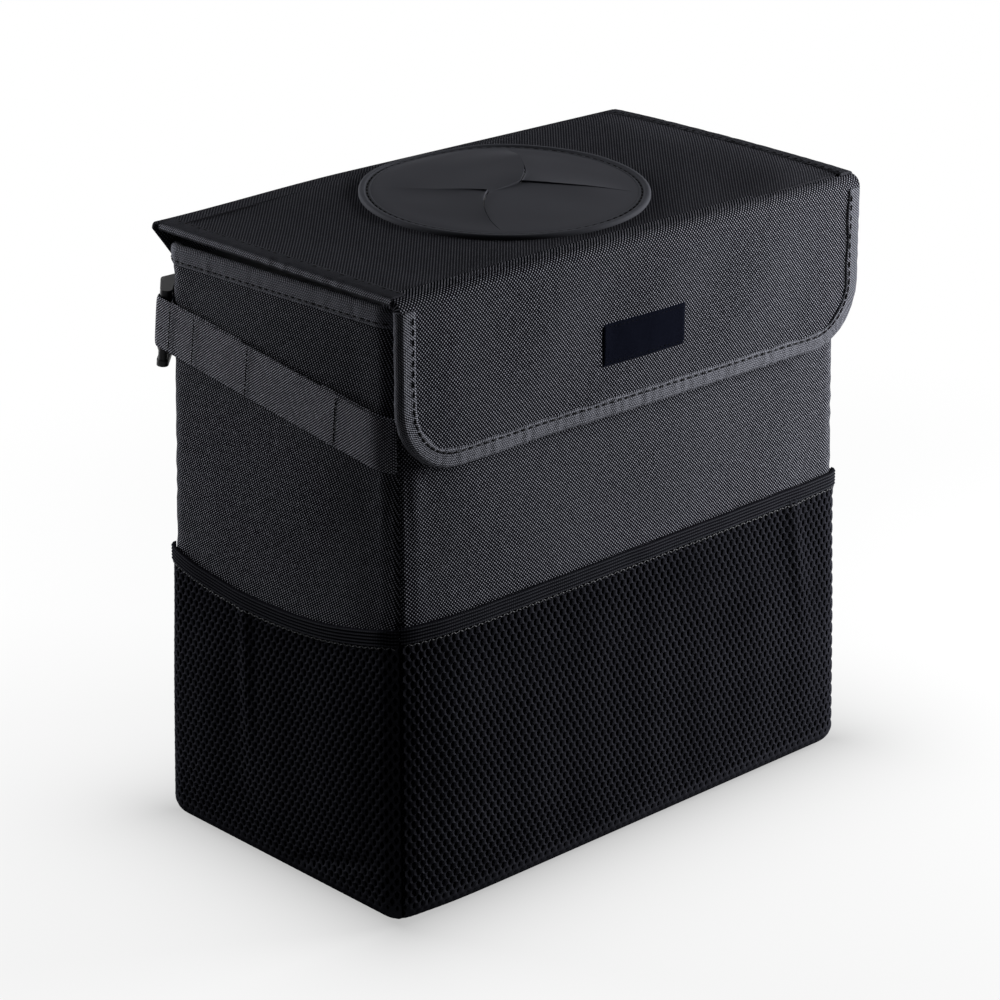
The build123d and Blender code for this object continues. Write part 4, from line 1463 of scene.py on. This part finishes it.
@dataclass
class Lid:
    """Stiffened lid panel with its bound sides, the hinge strip and the round hole for the port."""

    plan: LidPlan
    finishes: Finishes
    tape_width: float = 8.0
    tape_skin: float = 0.7
    tape_step: float = 1.1
    tape_short: float = 2.9
    lit_bead_from: float = -1.5
    stitch_in: float = 5.9
    strip_drop: float = 27.0
    strip_taper: float = 19.0
    strip_skin: float = 1.0
    strip_lift: float = 0.2
    strip_turn: float = 3.4
    strip_gap: float = 0.12
    port: float = 57.0

    def build_panel(self) -> Piece:
        """Panel with a round hole: each ring lies a share of the way from the hole to the outer edge."""
        plan = self.plan
        y0, y1 = 4.5, plan.depth - 2.2
        w = plan.half_width
        front = spots(np.linspace(-w, w, 81), y0)[:-1]
        right = spots(w, np.linspace(y0, y1, 49))[:-1]
        back = spots(np.linspace(w, -w, 81), y1)[:-1]
        left = spots(-w, np.linspace(y1, y0, 49))[:-1]
        outer = np.r_[front, right, back, left]
        ray = unit(outer - np.array([0.0, plan.disc_y]))
        inner = np.array([0.0, plan.disc_y]) + self.port * ray
        rings = 17
        share = np.linspace(0.0, 1.0, rings)[:, None, None]
        flat = inner[None] * (1.0 - share) + outer[None] * share
        x, y = flat[..., 0], flat[..., 1]
        top = plan.at(x, y, plan.half_thick + plan.puff(x, y))
        under = plan.at(x, y, -plan.half_thick * plan.thin(x) - 0.3 * plan.puff(x, y))
        points = np.r_[top[::-1], under]
        uv = np.r_[flat[::-1], flat, flat[-1:]]
        uv = np.concatenate([uv, uv[:, :1]], axis=1)
        faces = np.zeros((2 * rings, flat.shape[1]), int)
        faces[rings - 1 :] = 1
        patch = Patch(points, uv, close_rows=True, close_columns=True, finish=faces)
        # The top takes the darker copy of the weave as painted shade; the underside takes the lining.
        panel = make_piece("lid_panel", [patch], [self.finishes.lid_upper_painted_shade, self.finishes.lining])
        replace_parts(panel, "lid_fabric", "lid_board", "lid_lining")
        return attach(panel, "lid")

    def build_sides(self) -> list[Piece]:
        """Tape folded over the two side edges, with a row of stitches on each."""
        plan, skin = self.plan, self.tape_skin
        over = plan.half_thick + skin
        e, f = folded_tape(over, self.tape_width, skin)
        y = np.arange(self.tape_short, plan.depth - self.tape_short, self.tape_step)
        flat, inner = tape_shares(e)
        pressed = (plan.half_thick * plan.thin(plan.half_width + e) + skin) / over
        at = np.arange(6.0, plan.depth - 5.0, 4.0)
        patches, seats = [], []
        for side in (-1.0, 1.0):
            path = plan.at(side * (plan.half_width + skin), y, 0.0)
            edge, face = side * TO_RIGHT, side * plan.up
            pucker = ripple(y, 0.0, 110 + int(side), 6.0)[:, None]
            deep = np.where(f * side < 0.0, f * pressed, f)
            grid_f = deep + 0.1 * pucker * flat * np.sign(f)
            grid_e = e + 0.15 * pucker * (1.0 - flat) + 0.3 * inner * pucker
            # A thin bead on top of the nose keeps the bright edge tape as a painted highlight; the rest of
            # the tape takes the darker copy as painted shade.
            bead = (e + np.roll(e, -1) > self.lit_bead_from) & ((f + np.roll(f, -1)) * side > 0.0)
            points = path[:, None] + grid_e[..., None] * edge + grid_f[..., None] * face
            section = spots(grid_e[0], grid_f[0])
            wide = along(np.r_[section, section[:1]])
            points, uv = capped(points, spots(*np.meshgrid(wide, along(path))))
            finish = np.broadcast_to(bead.astype(int), (len(points) - 1, len(e)))
            patches.append(Patch(points, uv, close_columns=True, finish=finish))
            seats.append(plan.at(side * (plan.half_width - self.stitch_in), at, over + 0.08))
        tape = make_piece("lid_side_tape", patches, [self.finishes.side_tape_painted_shade, self.finishes.tape])
        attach(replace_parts(tape, "lid_binding"), "lid")
        run = plan.at(0.0, 1.0, 0.0) - plan.at(0.0, 0.0, 0.0)
        thread = self.finishes.dark_thread
        sewn = stitches("lid_side_stitches", np.concatenate(seats), run, plan.up, thread, 2.2, 0.7, 0.2)
        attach(sewn, "lid")
        return [tape, sewn]

    def build_strip(self) -> list[Piece]:
        """Woven strip from the lid's rear edge over the fold and down the back, narrowing to its foot."""
        plan = self.plan
        lead, turn_rows, tail_rows = np.linspace(9.0, 0.5, 6), 14, 16
        level = plan.half_thick + self.strip_gap
        first, normals, rise = plan.fold(1.0, level, self.strip_turn, turn_rows, lead)
        fallen = np.linspace(1.0, self.strip_drop + rise, tail_rows)
        tail = spots(first[-1, 0], first[-1, 1] - fallen)
        mid = np.r_[first, tail]
        normals = np.r_[normals, np.repeat(normals[-1:], tail_rows, axis=0)][:, None]
        h = along(mid)
        foot = h[len(first) - 1]
        fall = np.clip((h - foot) / (h[-1] - foot), 0.0, 1.0)
        half = plan.half_width - self.strip_taper * fall
        x = half[:, None] * np.linspace(-1.0, 1.0, 67)[None]
        soft = 0.22 * ripple(x, h[:, None], 120, 40.0)
        soft = soft * np.clip((h - h[12]) / 10.0, 0.0, 1.0)[:, None]
        sprung = plan.warp(x, np.full_like(x, plan.depth)) * (1.0 - fall)[:, None]

        def layer(out: float) -> Array:
            """One face of the strip at a distance out from its path."""
            face = mid[:, None] + (soft + out)[..., None] * normals
            return spots(x, face[..., 0], face[..., 1] + sprung)

        cloth = spots(x, -h[:, None])
        points, uv = doubled(layer(self.strip_lift), layer(self.strip_lift - self.strip_skin), cloth)
        patch = Patch(points, uv, close_columns=True, flip=True)
        # The strip takes the lid top's darker copy of the weave: painted shade.
        strip = make_piece("hinge_strip_cloth", [patch], [self.finishes.lid_upper_painted_shade])
        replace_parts(strip, "hinge_strip")
        at = np.linspace(-half[-1] + 4.0, half[-1] - 4.0, 56)
        seat = spots(at, *(mid[-1] + np.array([self.strip_lift, 4.0])))
        sewn = stitches("hinge_strip_stitches", seat, TO_RIGHT, TO_BACK, self.finishes.thread)
        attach(sewn, "bin")
        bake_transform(strip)
        return [strip, sewn]

    def build(self) -> None:
        """Builds the panel, its bound sides and the hinge strip."""
        for piece in [self.build_panel(), *self.build_sides(), *self.build_strip()]:
            LOG.info("lid: %s", piece.name)


@dataclass
class Flap:
    """Front flap that hangs from the lid's front fold, with its tape, label and closing tabs."""

    plan: LidPlan
    finishes: Finishes
    drop: float = 70.5
    corner: float = 29.0
    fold_radius: float = 5.0
    fold_clear: float = 6.0
    seam_rise: float = 0.2
    swell: float = 0.5
    wave: float = 0.4
    bow: float = 0.6
    tape_width: float = 8.0
    tape_skin: float = 0.7
    label_wide: float = 47.0
    label_high: float = 17.5
    label_drop: float = 39.7
    label_thick: float = 0.42
    tab_wide: float = 46.0
    tab_high: float = 13.0
    tab_thick: float = 0.86
    tab_spacing: float = 140.0
    tab_drop: float = 52.0
    hook_sunk: float = 0.1
    loop_base: float = -3.4

    def puff(self, x: Array, t: Array) -> Array:
        """Soft face of the flap at a distance below the fold: a low swell and slow waves inside the tape."""
        side = smooth_step(4.0, 30.0, self.plan.half_width - np.abs(x))
        low = smooth_step(4.0, 26.0, self.drop - t) * smooth_step(-2.0, 24.0, t)
        return side * low * (self.swell + self.wave * ripple(x, t, 131, 70.0))

    def hang(self, x: Array, t: Array, out: Array) -> Array:
        """Points at a distance below the fold and out from the middle layer, bowed along the edge."""
        x, t, out = np.broadcast_arrays(x, t, out)
        bow = self.bow * smooth_step(15.0, 65.0, t) * (0.35 + ripple(x, 0.0, 133, 95.0))
        y = self.plan.front_y - out - bow
        sprung = self.plan.warp(x, 0.0 * x) * np.clip(1.0 - t / self.drop, 0.0, 1.0)
        return spots(x, y, self.plan.front_z - t + sprung)

    def half(self, t: Array, inset: float) -> Array:
        """Half width of the flap at a distance below the fold: straight, then round its corner."""
        radius = self.corner - inset
        low = self.drop - self.corner
        reach = np.clip(t - low, 0.0, radius)
        return self.plan.half_width + self.tape_skin - inset - radius + np.sqrt(radius**2 - reach**2)

    def build_panel(self) -> Piece:
        """Panel whose path leaves the lid's top, turns round the fold and hangs, in two layers."""
        plan, thick, columns = self.plan, self.plan.half_thick, 97
        lead, skin = np.linspace(5.0, 0.6, 5), self.tape_skin
        first, normals, rise = plan.fold(-1.0, thick, self.fold_radius, 13, lead)
        low = self.drop - self.corner
        bend = low + (self.corner - skin) * np.sin(np.linspace(0.05, 1.0, 16) * math.pi / 2.0)
        t = np.r_[np.linspace(1.0 - rise, low, 22), bend]
        xi = np.linspace(-1.0, 1.0, columns)
        x_first = np.broadcast_to(plan.half_width * xi, (len(first), columns))
        x_low = self.half(t, skin)[:, None] * xi[None]
        seam = self.seam_rise * smooth_step(4.0, 5.5, np.linspace(5.6, 0.0, len(first)))

        def layer(out: float, raised: Array, share: float) -> Array:
            """One layer: raised on the fold, then out from the middle with a share of the puff."""
            head = first[:, None] + (raised[:, None] + 0.0 * x_first)[..., None] * normals[:, None]
            sprung = plan.warp(x_first, 0.0 * x_first)
            head = spots(x_first, head[..., 0], head[..., 1] + sprung)
            hung = self.hang(x_low, t[:, None], out + share * self.puff(x_low, t[:, None]))
            return np.r_[head, hung]

        outer = layer(thick, seam, 1.0)
        inner = layer(-thick, np.full(len(first), -2.0 * thick), -0.3)
        h = np.r_[along(first), along(first)[-1] + 1.0 + t - t[0]] - lead[0] - thick
        wide = np.r_[x_first, x_low]
        cloth = spots(wide, -h[:, None])
        points, uv = doubled(outer, inner, cloth)
        faces = np.zeros((len(points) - 1, points.shape[1]), int)
        faces[:, columns:-1] = 1
        patch = Patch(points, uv, close_columns=True, flip=True, finish=faces)
        panel = make_piece("flap_panel", [patch], [self.finishes.lid, self.finishes.lining])
        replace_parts(panel, "flap_fabric", "flap_board", "flap_lining")
        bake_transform(panel)
        return panel

    def edge_line(self, inset: float, step: float) -> tuple[Array, Array]:
        """Line down one side of the flap, round the corners and up the other.

        Args:
            inset: Distance in from the flap's outline.
            step: Distance between points.

        Returns:
            Places across and below the fold, with the directions out of the outline.
        """
        half = self.plan.half_width + self.tape_skin
        low = self.drop - self.corner
        left = np.array([[-half, 2.9], [-half, low]])
        turn = np.linspace(math.pi, 0.5 * math.pi, 24)
        x, t = self.corner * np.cos(turn) + (self.corner - half), low + self.corner * np.sin(turn)
        around = np.r_[left, spots(x, t)[1:]]
        mirrored = around[::-1] * np.array([-1.0, 1.0])
        line = resample(np.r_[around, mirrored], step)
        ahead = unit(np.gradient(line, axis=0))
        outward = spots(-ahead[:, 1], ahead[:, 0])
        return line - inset * outward, outward

    def build_tape(self) -> list[Piece]:
        """Tape folded over the sides and the bottom, puckered by its stitches."""
        plan = self.plan
        line, outward = self.edge_line(0.0, 1.1)
        e, f = folded_tape(plan.half_thick + self.tape_skin, self.tape_width, self.tape_skin)
        length = along(line)
        pucker = ripple(length, 0.0, 141, 5.5)[:, None]
        wave = ripple(length, 0.0, 142, 18.0)[:, None]
        flat, inner = tape_shares(e)
        grid_f = f + 0.13 * pucker * flat * np.sign(f)
        grid_e = e + 0.14 * pucker * (1.0 - flat) + 0.3 * wave * inner
        x = line[:, :1] + grid_e * outward[:, :1]
        t = line[:, 1:] + grid_e * outward[:, 1:]
        wide = along(spots(e, f))
        uv = spots(*np.meshgrid(np.r_[wide, wide[-1] + 3.0], length))
        points, uv = capped(self.hang(x, t, grid_f), uv)
        tape = make_piece("flap_tape", [Patch(points, uv, close_columns=True)], [self.finishes.tape])
        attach(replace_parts(tape, "flap_binding"), "flap")
        seat, _ = self.edge_line(6.6, 4.1)
        ahead = np.gradient(seat, axis=0)
        clear = seat[:, 1] > self.fold_clear
        seat, ahead = seat[clear], ahead[clear]
        run = spots(ahead[:, 0], 0.0, -ahead[:, 1])
        made = [tape]
        for name, side, finish in (
            ("flap_stitches", 1.0, self.finishes.dark_thread),
            ("flap_inner_stitches", -1.0, self.finishes.thread),
        ):
            places = self.hang(seat[:, 0], seat[:, 1], side * (plan.half_thick + 0.8))
            sewn = stitches(name, places, run, -side * TO_BACK, finish, 2.7, 0.8, 0.3)
            made.append(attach(sewn, "flap"))
        return made

    def build_label(self) -> list[Piece]:
        """Blank woven label, a thin pillow turned under at its two ends, sewn down along its edges."""
        a, b = np.linspace(-1.0, 1.0, 49), np.linspace(-1.0, 1.0, 17)
        grid_a, grid_b = np.meshgrid(a, b)
        x = grid_a * self.label_wide / 2.0
        t = self.label_drop - grid_b * self.label_high / 2.0
        end = smooth_step(0.84, 0.9, np.abs(grid_a))
        sewn_in = np.exp(-(((np.abs(grid_a) - 0.91) / 0.02) ** 2))
        rim = smooth_step(1.0, 0.97, np.abs(grid_a)) * smooth_step(1.0, 0.93, np.abs(grid_b))
        thick = rim * (self.label_thick + 0.18 * end - 0.22 * sewn_in + 0.06 * ripple(x, t, 151, 14.0))
        base = self.plan.half_thick + self.puff(x, t) - 0.02
        top, under = self.hang(x, t, base + thick), self.hang(x, t, base - 0.25)
        uv = spots(x, -t)
        border = ((1, 1), (1, 1), (0, 0))
        skirt, foot = np.pad(top, border, mode="edge"), np.pad(under, border, mode="edge")
        skirt[[0, -1]] = foot[[0, -1]]
        skirt[:, [0, -1]] = foot[:, [0, -1]]
        patches = [Patch(skirt, np.pad(uv, border, mode="edge")), Patch(under, uv, flip=True)]
        label = make_piece("blank_label", patches, [self.finishes.label], 60.0)
        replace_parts(label, "flap_label")
        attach(label, "flap")
        row = np.linspace(-0.455, 0.455, 19) * self.label_wide
        x = np.tile(row, 2)
        t = self.label_drop + np.repeat([-0.41, 0.41], len(row)) * self.label_high
        places = self.hang(x, t, self.plan.half_thick + self.puff(x, t) + 0.32)
        thread = self.finishes.elastic
        sewn = stitches("label_stitches", places, TO_RIGHT, -TO_BACK, thread, 1.5, 0.45, 0.22)
        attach(sewn, "flap")
        return [label, sewn]

    def build_tabs(self) -> list[Piece]:
        """Closing tabs as thin rounded pillows: hooks inside the flap and fleece on the front wall."""
        made = []
        grid_a, grid_b = np.meshgrid(np.linspace(-1.0, 1.0, 33), np.linspace(-1.0, 1.0, 13))
        pull = 1.0 - 0.02 * (np.abs(grid_a) * np.abs(grid_b)) ** 6
        rim = np.sqrt(np.clip(1.0 - np.maximum(np.abs(grid_a), np.abs(grid_b)) ** 14, 0.0, 1.0))
        hook_base = self.hook_sunk - self.plan.half_thick
        for name, node, body, base, face, finish in (
            ("hook_tabs", "flap_hook_tabs", "flap", hook_base, -1.0, self.finishes.hook),
            ("loop_tabs", "wall_loop_tabs", "bin", self.loop_base, 1.0, self.finishes.loop),
        ):
            patches = []
            for side in (-1.0, 1.0):
                x = side * self.tab_spacing / 2.0 + grid_a * pull * self.tab_wide / 2.0
                t = self.tab_drop + grid_b * pull * self.tab_high / 2.0
                nap = 0.06 * ripple(x, t, 161, 1.7)
                seat = self.hang(x, t, base)
                if body == "bin":
                    seat[..., 1] = self.plan.front_y - base
                top = seat - (face * rim * (self.tab_thick + nap))[..., None] * TO_BACK
                uv = spots(x, t)
                patches += [Patch(top, uv, flip=face > 0), Patch(seat, uv, flip=face < 0)]
            pads = make_piece(name, patches, [finish], 60.0)
            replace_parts(pads, node)
            made.append(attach(pads, body))
        return made

    def build(self) -> None:
        """Builds the panel, the tape, the label and the tabs."""
        for piece in [self.build_panel(), *self.build_tape(), *self.build_label(), *self.build_tabs()]:
            LOG.info("flap: %s", piece.name)


# Petal port


class Leaf(Enum):
    """Leaves of the port: CAD body, then the direction from the middle to the leaf's root."""

    FRONT = ("front_leaf", 0.0, -1.0)
    BACK = ("back_leaf", 0.0, 1.0)
    LEFT = ("left_leaf", -1.0, 0.0)
    RIGHT = ("right_leaf", 1.0, 0.0)


class LeafForm(NamedTuple):
    """Heights of a leaf's tip, its free edges, its two sides (cup) and its right or back side (slant)."""

    lift: float
    curl: float
    cup: float = 0.0
    slant: float = 0.0


LEAF_FORMS = {
    Leaf.FRONT: LeafForm(0.5, 0.3),
    Leaf.BACK: LeafForm(1.0, 0.2, 0.3, 2.0),
    Leaf.LEFT: LeafForm(1.3, 0.6),
    Leaf.RIGHT: LeafForm(1.1, 0.4),
}

RING_SECTION = np.array(
    [(55.6, 0.0), (55.6, 0.9), (56.0, 1.2), (56.6, 1.22), (57.1, 0.98)]
    + [(57.5, 0.92), (58.0, 1.1), (58.3, 1.4), (58.7, 1.65), (59.2, 1.75)]
    + [(59.8, 1.75), (60.4, 1.6), (60.8, 1.25), (61.0, 0.8), (61.0, 0.0)]
)


@dataclass
class PetalPort:
    """Moulded rubber disc: a beaded ring sewn to the lid and four leaves parted by curved slits."""

    plan: LidPlan
    finishes: Finishes
    sheet: float = 1.2
    reach: float = 53.0
    bow: float = 4.0
    centre_slit: float = 19.0
    slit_lead: float = 0.1
    root: float = 57.6
    gap: float = 0.35
    seat_gap: float = 0.05
    groove: float = 57.3
    groove_level: float = 0.98
    leaf_half: float = 38.0
    hinge_level: float = 0.6

    def at(self, x: Array, y: Array, z: Array) -> Array:
        """Points of the disc's own frame, with z up from its underside."""
        return self.plan.at(x, self.plan.disc_y + y, self.plan.half_thick + self.seat_gap + z)

    def build_ring(self) -> list[Piece]:
        """Beaded ring turned from its section, with the stitches in the groove inside the bead."""
        r, z = RING_SECTION.T
        turn, girth = circle(180), 57.0
        wobble = 0.12 * ripple(turn * girth, 0.0, 171, 60.0)
        x = np.cos(turn)[:, None] * (r[None] + wobble[:, None])
        y = np.sin(turn)[:, None] * (r[None] + wobble[:, None])
        points = self.at(x, y, np.broadcast_to(z, x.shape))
        wide = np.r_[along(RING_SECTION), 18.0]
        uv = spots(*np.meshgrid(wide, np.r_[turn, 2.0 * math.pi] * girth))
        patch = Patch(points, uv, close_rows=True, close_columns=True, flip=True)
        ring = make_piece("port_ring", [patch], [self.finishes.bead])
        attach(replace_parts(ring, "petal_disc"), "lid")
        turn = circle(88)
        places = self.at(self.groove * np.cos(turn), self.groove * np.sin(turn), self.groove_level)
        run = self.at(-np.sin(turn), np.cos(turn), 0.0 * turn) - self.at(0.0, 0.0, 0.0)
        thread = self.finishes.dark_thread
        sewn = stitches("port_stitches", places, run, self.plan.up, thread, 2.5, 0.7, 0.3)
        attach(sewn, "lid")
        return [ring, sewn]

    def slit(self, side: float, end: float, share: Array) -> Array:
        """Curved slit from the disc's rim to the end of the middle slit, bowed to the side leaves.

        Args:
            side: -1 for the left leaf's slits and 1 for the right leaf's.
            end: -1 for the front slits and 1 for the back slits.
            share: 0 at the rim to 1 at the middle slit.

        Returns:
            Points in the disc's plan.
        """
        diagonal = np.array([side, end]) / math.sqrt(2.0)
        tip = np.array([side * self.centre_slit / 2.0, 0.0])
        start = diagonal * self.reach
        across = unit(np.array([end * side * (start - tip)[1], -(start - tip)[0]]))
        lead = np.clip(share / self.slit_lead, 0.0, 1.0)[:, None]
        run = np.clip((share - self.slit_lead) / (1.0 - self.slit_lead), 0.0, 1.0)[:, None]
        curve = start + (tip - start) * run + across * 4.0 * self.bow * run * (1.0 - run)
        radial = diagonal * (self.root + (self.reach - self.root) * lead)
        return np.where(share[:, None] < self.slit_lead, radial, curve)

    def leaf_plan(self, leaf: Leaf, share: Array, a: Array) -> Array:
        """Plan of a leaf: rows between its two slits, with the first rows drawn out to the ring's round.

        Args:
            leaf: Which leaf.
            share: 0 at the ring to 1 at the leaf's tip, for each row.
            a: 0 at the first slit to 1 at the second, for each column.

        Returns:
            Points in the disc's plan.
        """
        _, dx, dy = leaf.value
        ends = [(-1.0, dy), (1.0, dy)] if dx == 0.0 else [(dx, -1.0), (dx, 1.0)]
        first, second = (self.slit(*end, share) for end in ends)
        flat = first[:, None] * (1.0 - a)[None, :, None] + second[:, None] * a[None, :, None]
        start = math.atan2(first[0, 1], first[0, 0])
        sweep = (math.atan2(second[0, 1], second[0, 0]) - start + math.pi) % (2.0 * math.pi) - math.pi
        arc = self.root * spots(np.cos(start + sweep * a), np.sin(start + sweep * a))
        return flat + ((1.0 - share) ** 2)[:, None, None] * (arc - flat[0])[None]

    def build_leaf(self, leaf: Leaf, form: LeafForm) -> Piece:
        """One leaf between its two slits, from the ring to its tip, lifted and curled at its free edges."""
        body, dx, dy = leaf.value
        lead = np.linspace(0.0, self.slit_lead, 4)[:-1]
        share = np.r_[lead, np.linspace(self.slit_lead, 1.0, 34)]
        a = 0.5 - 0.5 * np.cos(np.linspace(0.0, math.pi, 31))
        flat = self.leaf_plan(leaf, share, a)
        off_middle = np.abs(2.0 * a - 1.0)
        middle = np.array([dx, dy]) * self.reach * 0.42
        free = smooth_step(0.08, 0.2, share)[:, None]
        narrow = flat - free[..., None] * self.gap * unit(flat - middle) * off_middle[None, :, None] ** 8
        narrow[-1] = narrow[-1] + 0.06 * np.array([dx, dy])
        rise = smooth_step(0.12, 1.0, share)[:, None] ** 1.3
        curl = form.curl * off_middle[None] ** 3 * smooth_step(0.1, 0.55, share)[:, None]
        z = self.sheet * 0.98 + form.lift * rise + curl
        z = z + 0.12 * ripple(flat[..., 0], flat[..., 1], 181, 36.0) * smooth_step(0.05, 0.3, share)[:, None]
        z = z - 0.25 * (1.0 - smooth_step(0.0, 0.06, share))[:, None]
        across = (flat[..., 0] if dx == 0.0 else flat[..., 1]) / self.leaf_half
        z = z + (form.cup * across**2 + form.slant * across) * smooth_step(0.05, 0.4, share)[:, None]
        x, y = narrow[..., 0], narrow[..., 1]
        top = self.at(x, y, z)
        points, uv = doubled(top, self.at(x, y, z - self.sheet), flat)
        name = leaf.name.lower()
        turned = np.cross(top[0, -1] - top[0, 0], top[5, 15] - top[0, 15])[2] > 0.0
        patch = Patch(points, uv, close_columns=True, flip=not turned)
        piece = make_piece(f"{name}_leaf_rubber", [patch], [self.finishes.rubber])
        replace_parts(piece, f"{name}_petal")
        chord = self.reach / math.sqrt(2.0)
        near = self.at(dx * (chord + 4.0), dy * (chord + 4.0), self.hinge_level) * MM
        past = self.at(dx * (chord - 5.0), dy * (chord - 5.0), self.hinge_level) * MM
        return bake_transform(piece)

    def build(self) -> None:
        """Builds the ring and the four leaves."""
        made = self.build_ring()
        made += [self.build_leaf(leaf, form) for leaf, form in LEAF_FORMS.items()]
        for piece in made:
            LOG.info("port: %s", piece.name)


# Studio


@dataclass(frozen=True)
class SoftBox:
    """Rectangular studio light aimed at the bin."""

    name: str
    place: tuple[float, float, float]
    aim: tuple[float, float, float]
    wide: float
    high: float
    power: float

    def build(self) -> None:
        """Adds the light."""
        lamp = bpy.data.lights.new(self.name, "AREA")
        lamp.shape = "RECTANGLE"
        lamp.size, lamp.size_y = self.wide, self.high
        lamp.energy = self.power
        light = bpy.data.objects.new(self.name, lamp)
        light.location = self.place
        light.rotation_mode = "QUATERNION"
        light.rotation_quaternion = (Vector(self.aim) - Vector(self.place)).to_track_quat("-Z", "Y")
        bpy.context.scene.collection.objects.link(light)


@dataclass(frozen=True)
class Studio:
    """White paper floor, soft lights at both sides and the camera of the photograph's view."""

    finishes: Finishes
    azimuth: float = -43.437
    elevation: float = 20.685
    distance: float = 1423.833
    across: float = 5.023
    above: float = -121.457
    lens: float = 115.2
    sensor: float = 36.0
    farthest: float = 50.0
    floor_rings: tuple[float, ...] = (0.0, 300.0, 900.0, 2500.0, 12000.0)
    floor_level: float = -0.2
    fill: float = 0.03
    fill_tint: tuple[float, ...] = (0.92, 0.96, 1.0, 1.0)
    boxes: tuple[SoftBox, ...] = (
        SoftBox("right_softbox", (0.6, -0.33, 0.3), (0.03, -0.05, 0.14), 0.3, 0.42, 16.0),
        SoftBox("left_softbox", (-0.26, 0.58, 0.335), (-0.12, 0.06, 0.18), 0.3, 0.4, 7.3),
    )

    def build_camera(self) -> None:
        """Places the camera by azimuth, elevation and distance, then slides it in its own plane."""
        a, e = math.radians(self.azimuth), math.radians(self.elevation)
        back = Vector((math.sin(a) * math.cos(e), -math.cos(a) * math.cos(e), math.sin(e)))
        right = Vector((math.cos(a), math.sin(a), 0.0))
        up = back.cross(right)
        data = bpy.data.cameras.new("photo_camera")
        data.sensor_width = self.sensor
        data.lens = self.lens
        data.clip_end = self.farthest
        camera = bpy.data.objects.new("photo_camera", data)
        turn = Matrix((right, up, back)).transposed()
        spot = (back * self.distance - right * self.across - up * self.above) * MM
        camera.matrix_world = Matrix.Translation(spot) @ turn.to_4x4()
        bpy.context.scene.collection.objects.link(camera)
        bpy.context.scene.camera = camera

    def build_floor(self) -> None:
        """Wide round floor under the bin."""
        turn, r = circle(96), np.array(self.floor_rings)
        x = np.cos(turn)[None] * r[:, None]
        y = np.sin(turn)[None] * r[:, None]
        points = spots(x, y, self.floor_level)
        uv = spots(x, y)
        uv = np.concatenate([uv, uv[:, :1]], axis=1)
        patch = Patch(points, uv, close_columns=True, flip=True)
        make_piece("floor", [patch], [self.finishes.floor])

    def build_world(self) -> None:
        """White to the camera and in reflections, and a low even fill for the rest."""
        world = bpy.data.worlds.new("studio")
        bpy.context.scene.world = world
        n = Nodes(world)
        fill = n.add("Background", {"Color": self.fill_tint, "Strength": self.fill})
        white = n.add("Background", {"Color": WHITE})
        mix = n.add("MixShader", {0: n.seen(), 1: fill.outputs[0], 2: white.outputs[0]})
        n.add("OutputWorld", {"Surface": mix.outputs[0]})

    def build(self) -> None:
        """Builds the floor, the lights, the world and the camera."""
        self.build_floor()
        for box in self.boxes:
            box.build()
        self.build_world()
        self.build_camera()
        bpy.context.scene.view_settings.view_transform = "Standard"


def dress_nodes(nodes: dict[str, Piece], finishes: Finishes) -> None:
    """Gives the CAD nodes that stay in view their finish.

    Args:
        nodes: The frame's CAD objects by name.
        finishes: The finishes.
    """
    plastic = ("buckle_socket", "buckle_tongue", "strap_slide")
    for names, finish in ((plastic, finishes.plastic), (BOARDS, finishes.board)):
        for name in names:
            nodes[name].data.materials.clear()
            nodes[name].data.materials.append(finish)
            LOG.info("node: %s", name)


def main() -> None:
    """Loads the frame and builds every sub-assembly in order."""
    logging.basicConfig(level=logging.INFO, format="%(message)s")
    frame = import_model()
    finishes = Finishes()
    plan = BodyPlan()
    Body(plan, finishes).build()
    for wall in HEM_LINES:
        Pocket(plan, finishes, wall).build()
    Straps(finishes).build()
    lid_plan = LidPlan()
    Lid(lid_plan, finishes).build()
    Flap(lid_plan, finishes).build()
    PetalPort(lid_plan, finishes).build()
    dress_nodes(frame["nodes"], finishes)
    Studio(finishes).build()


if __name__ == "__main__":
    main()
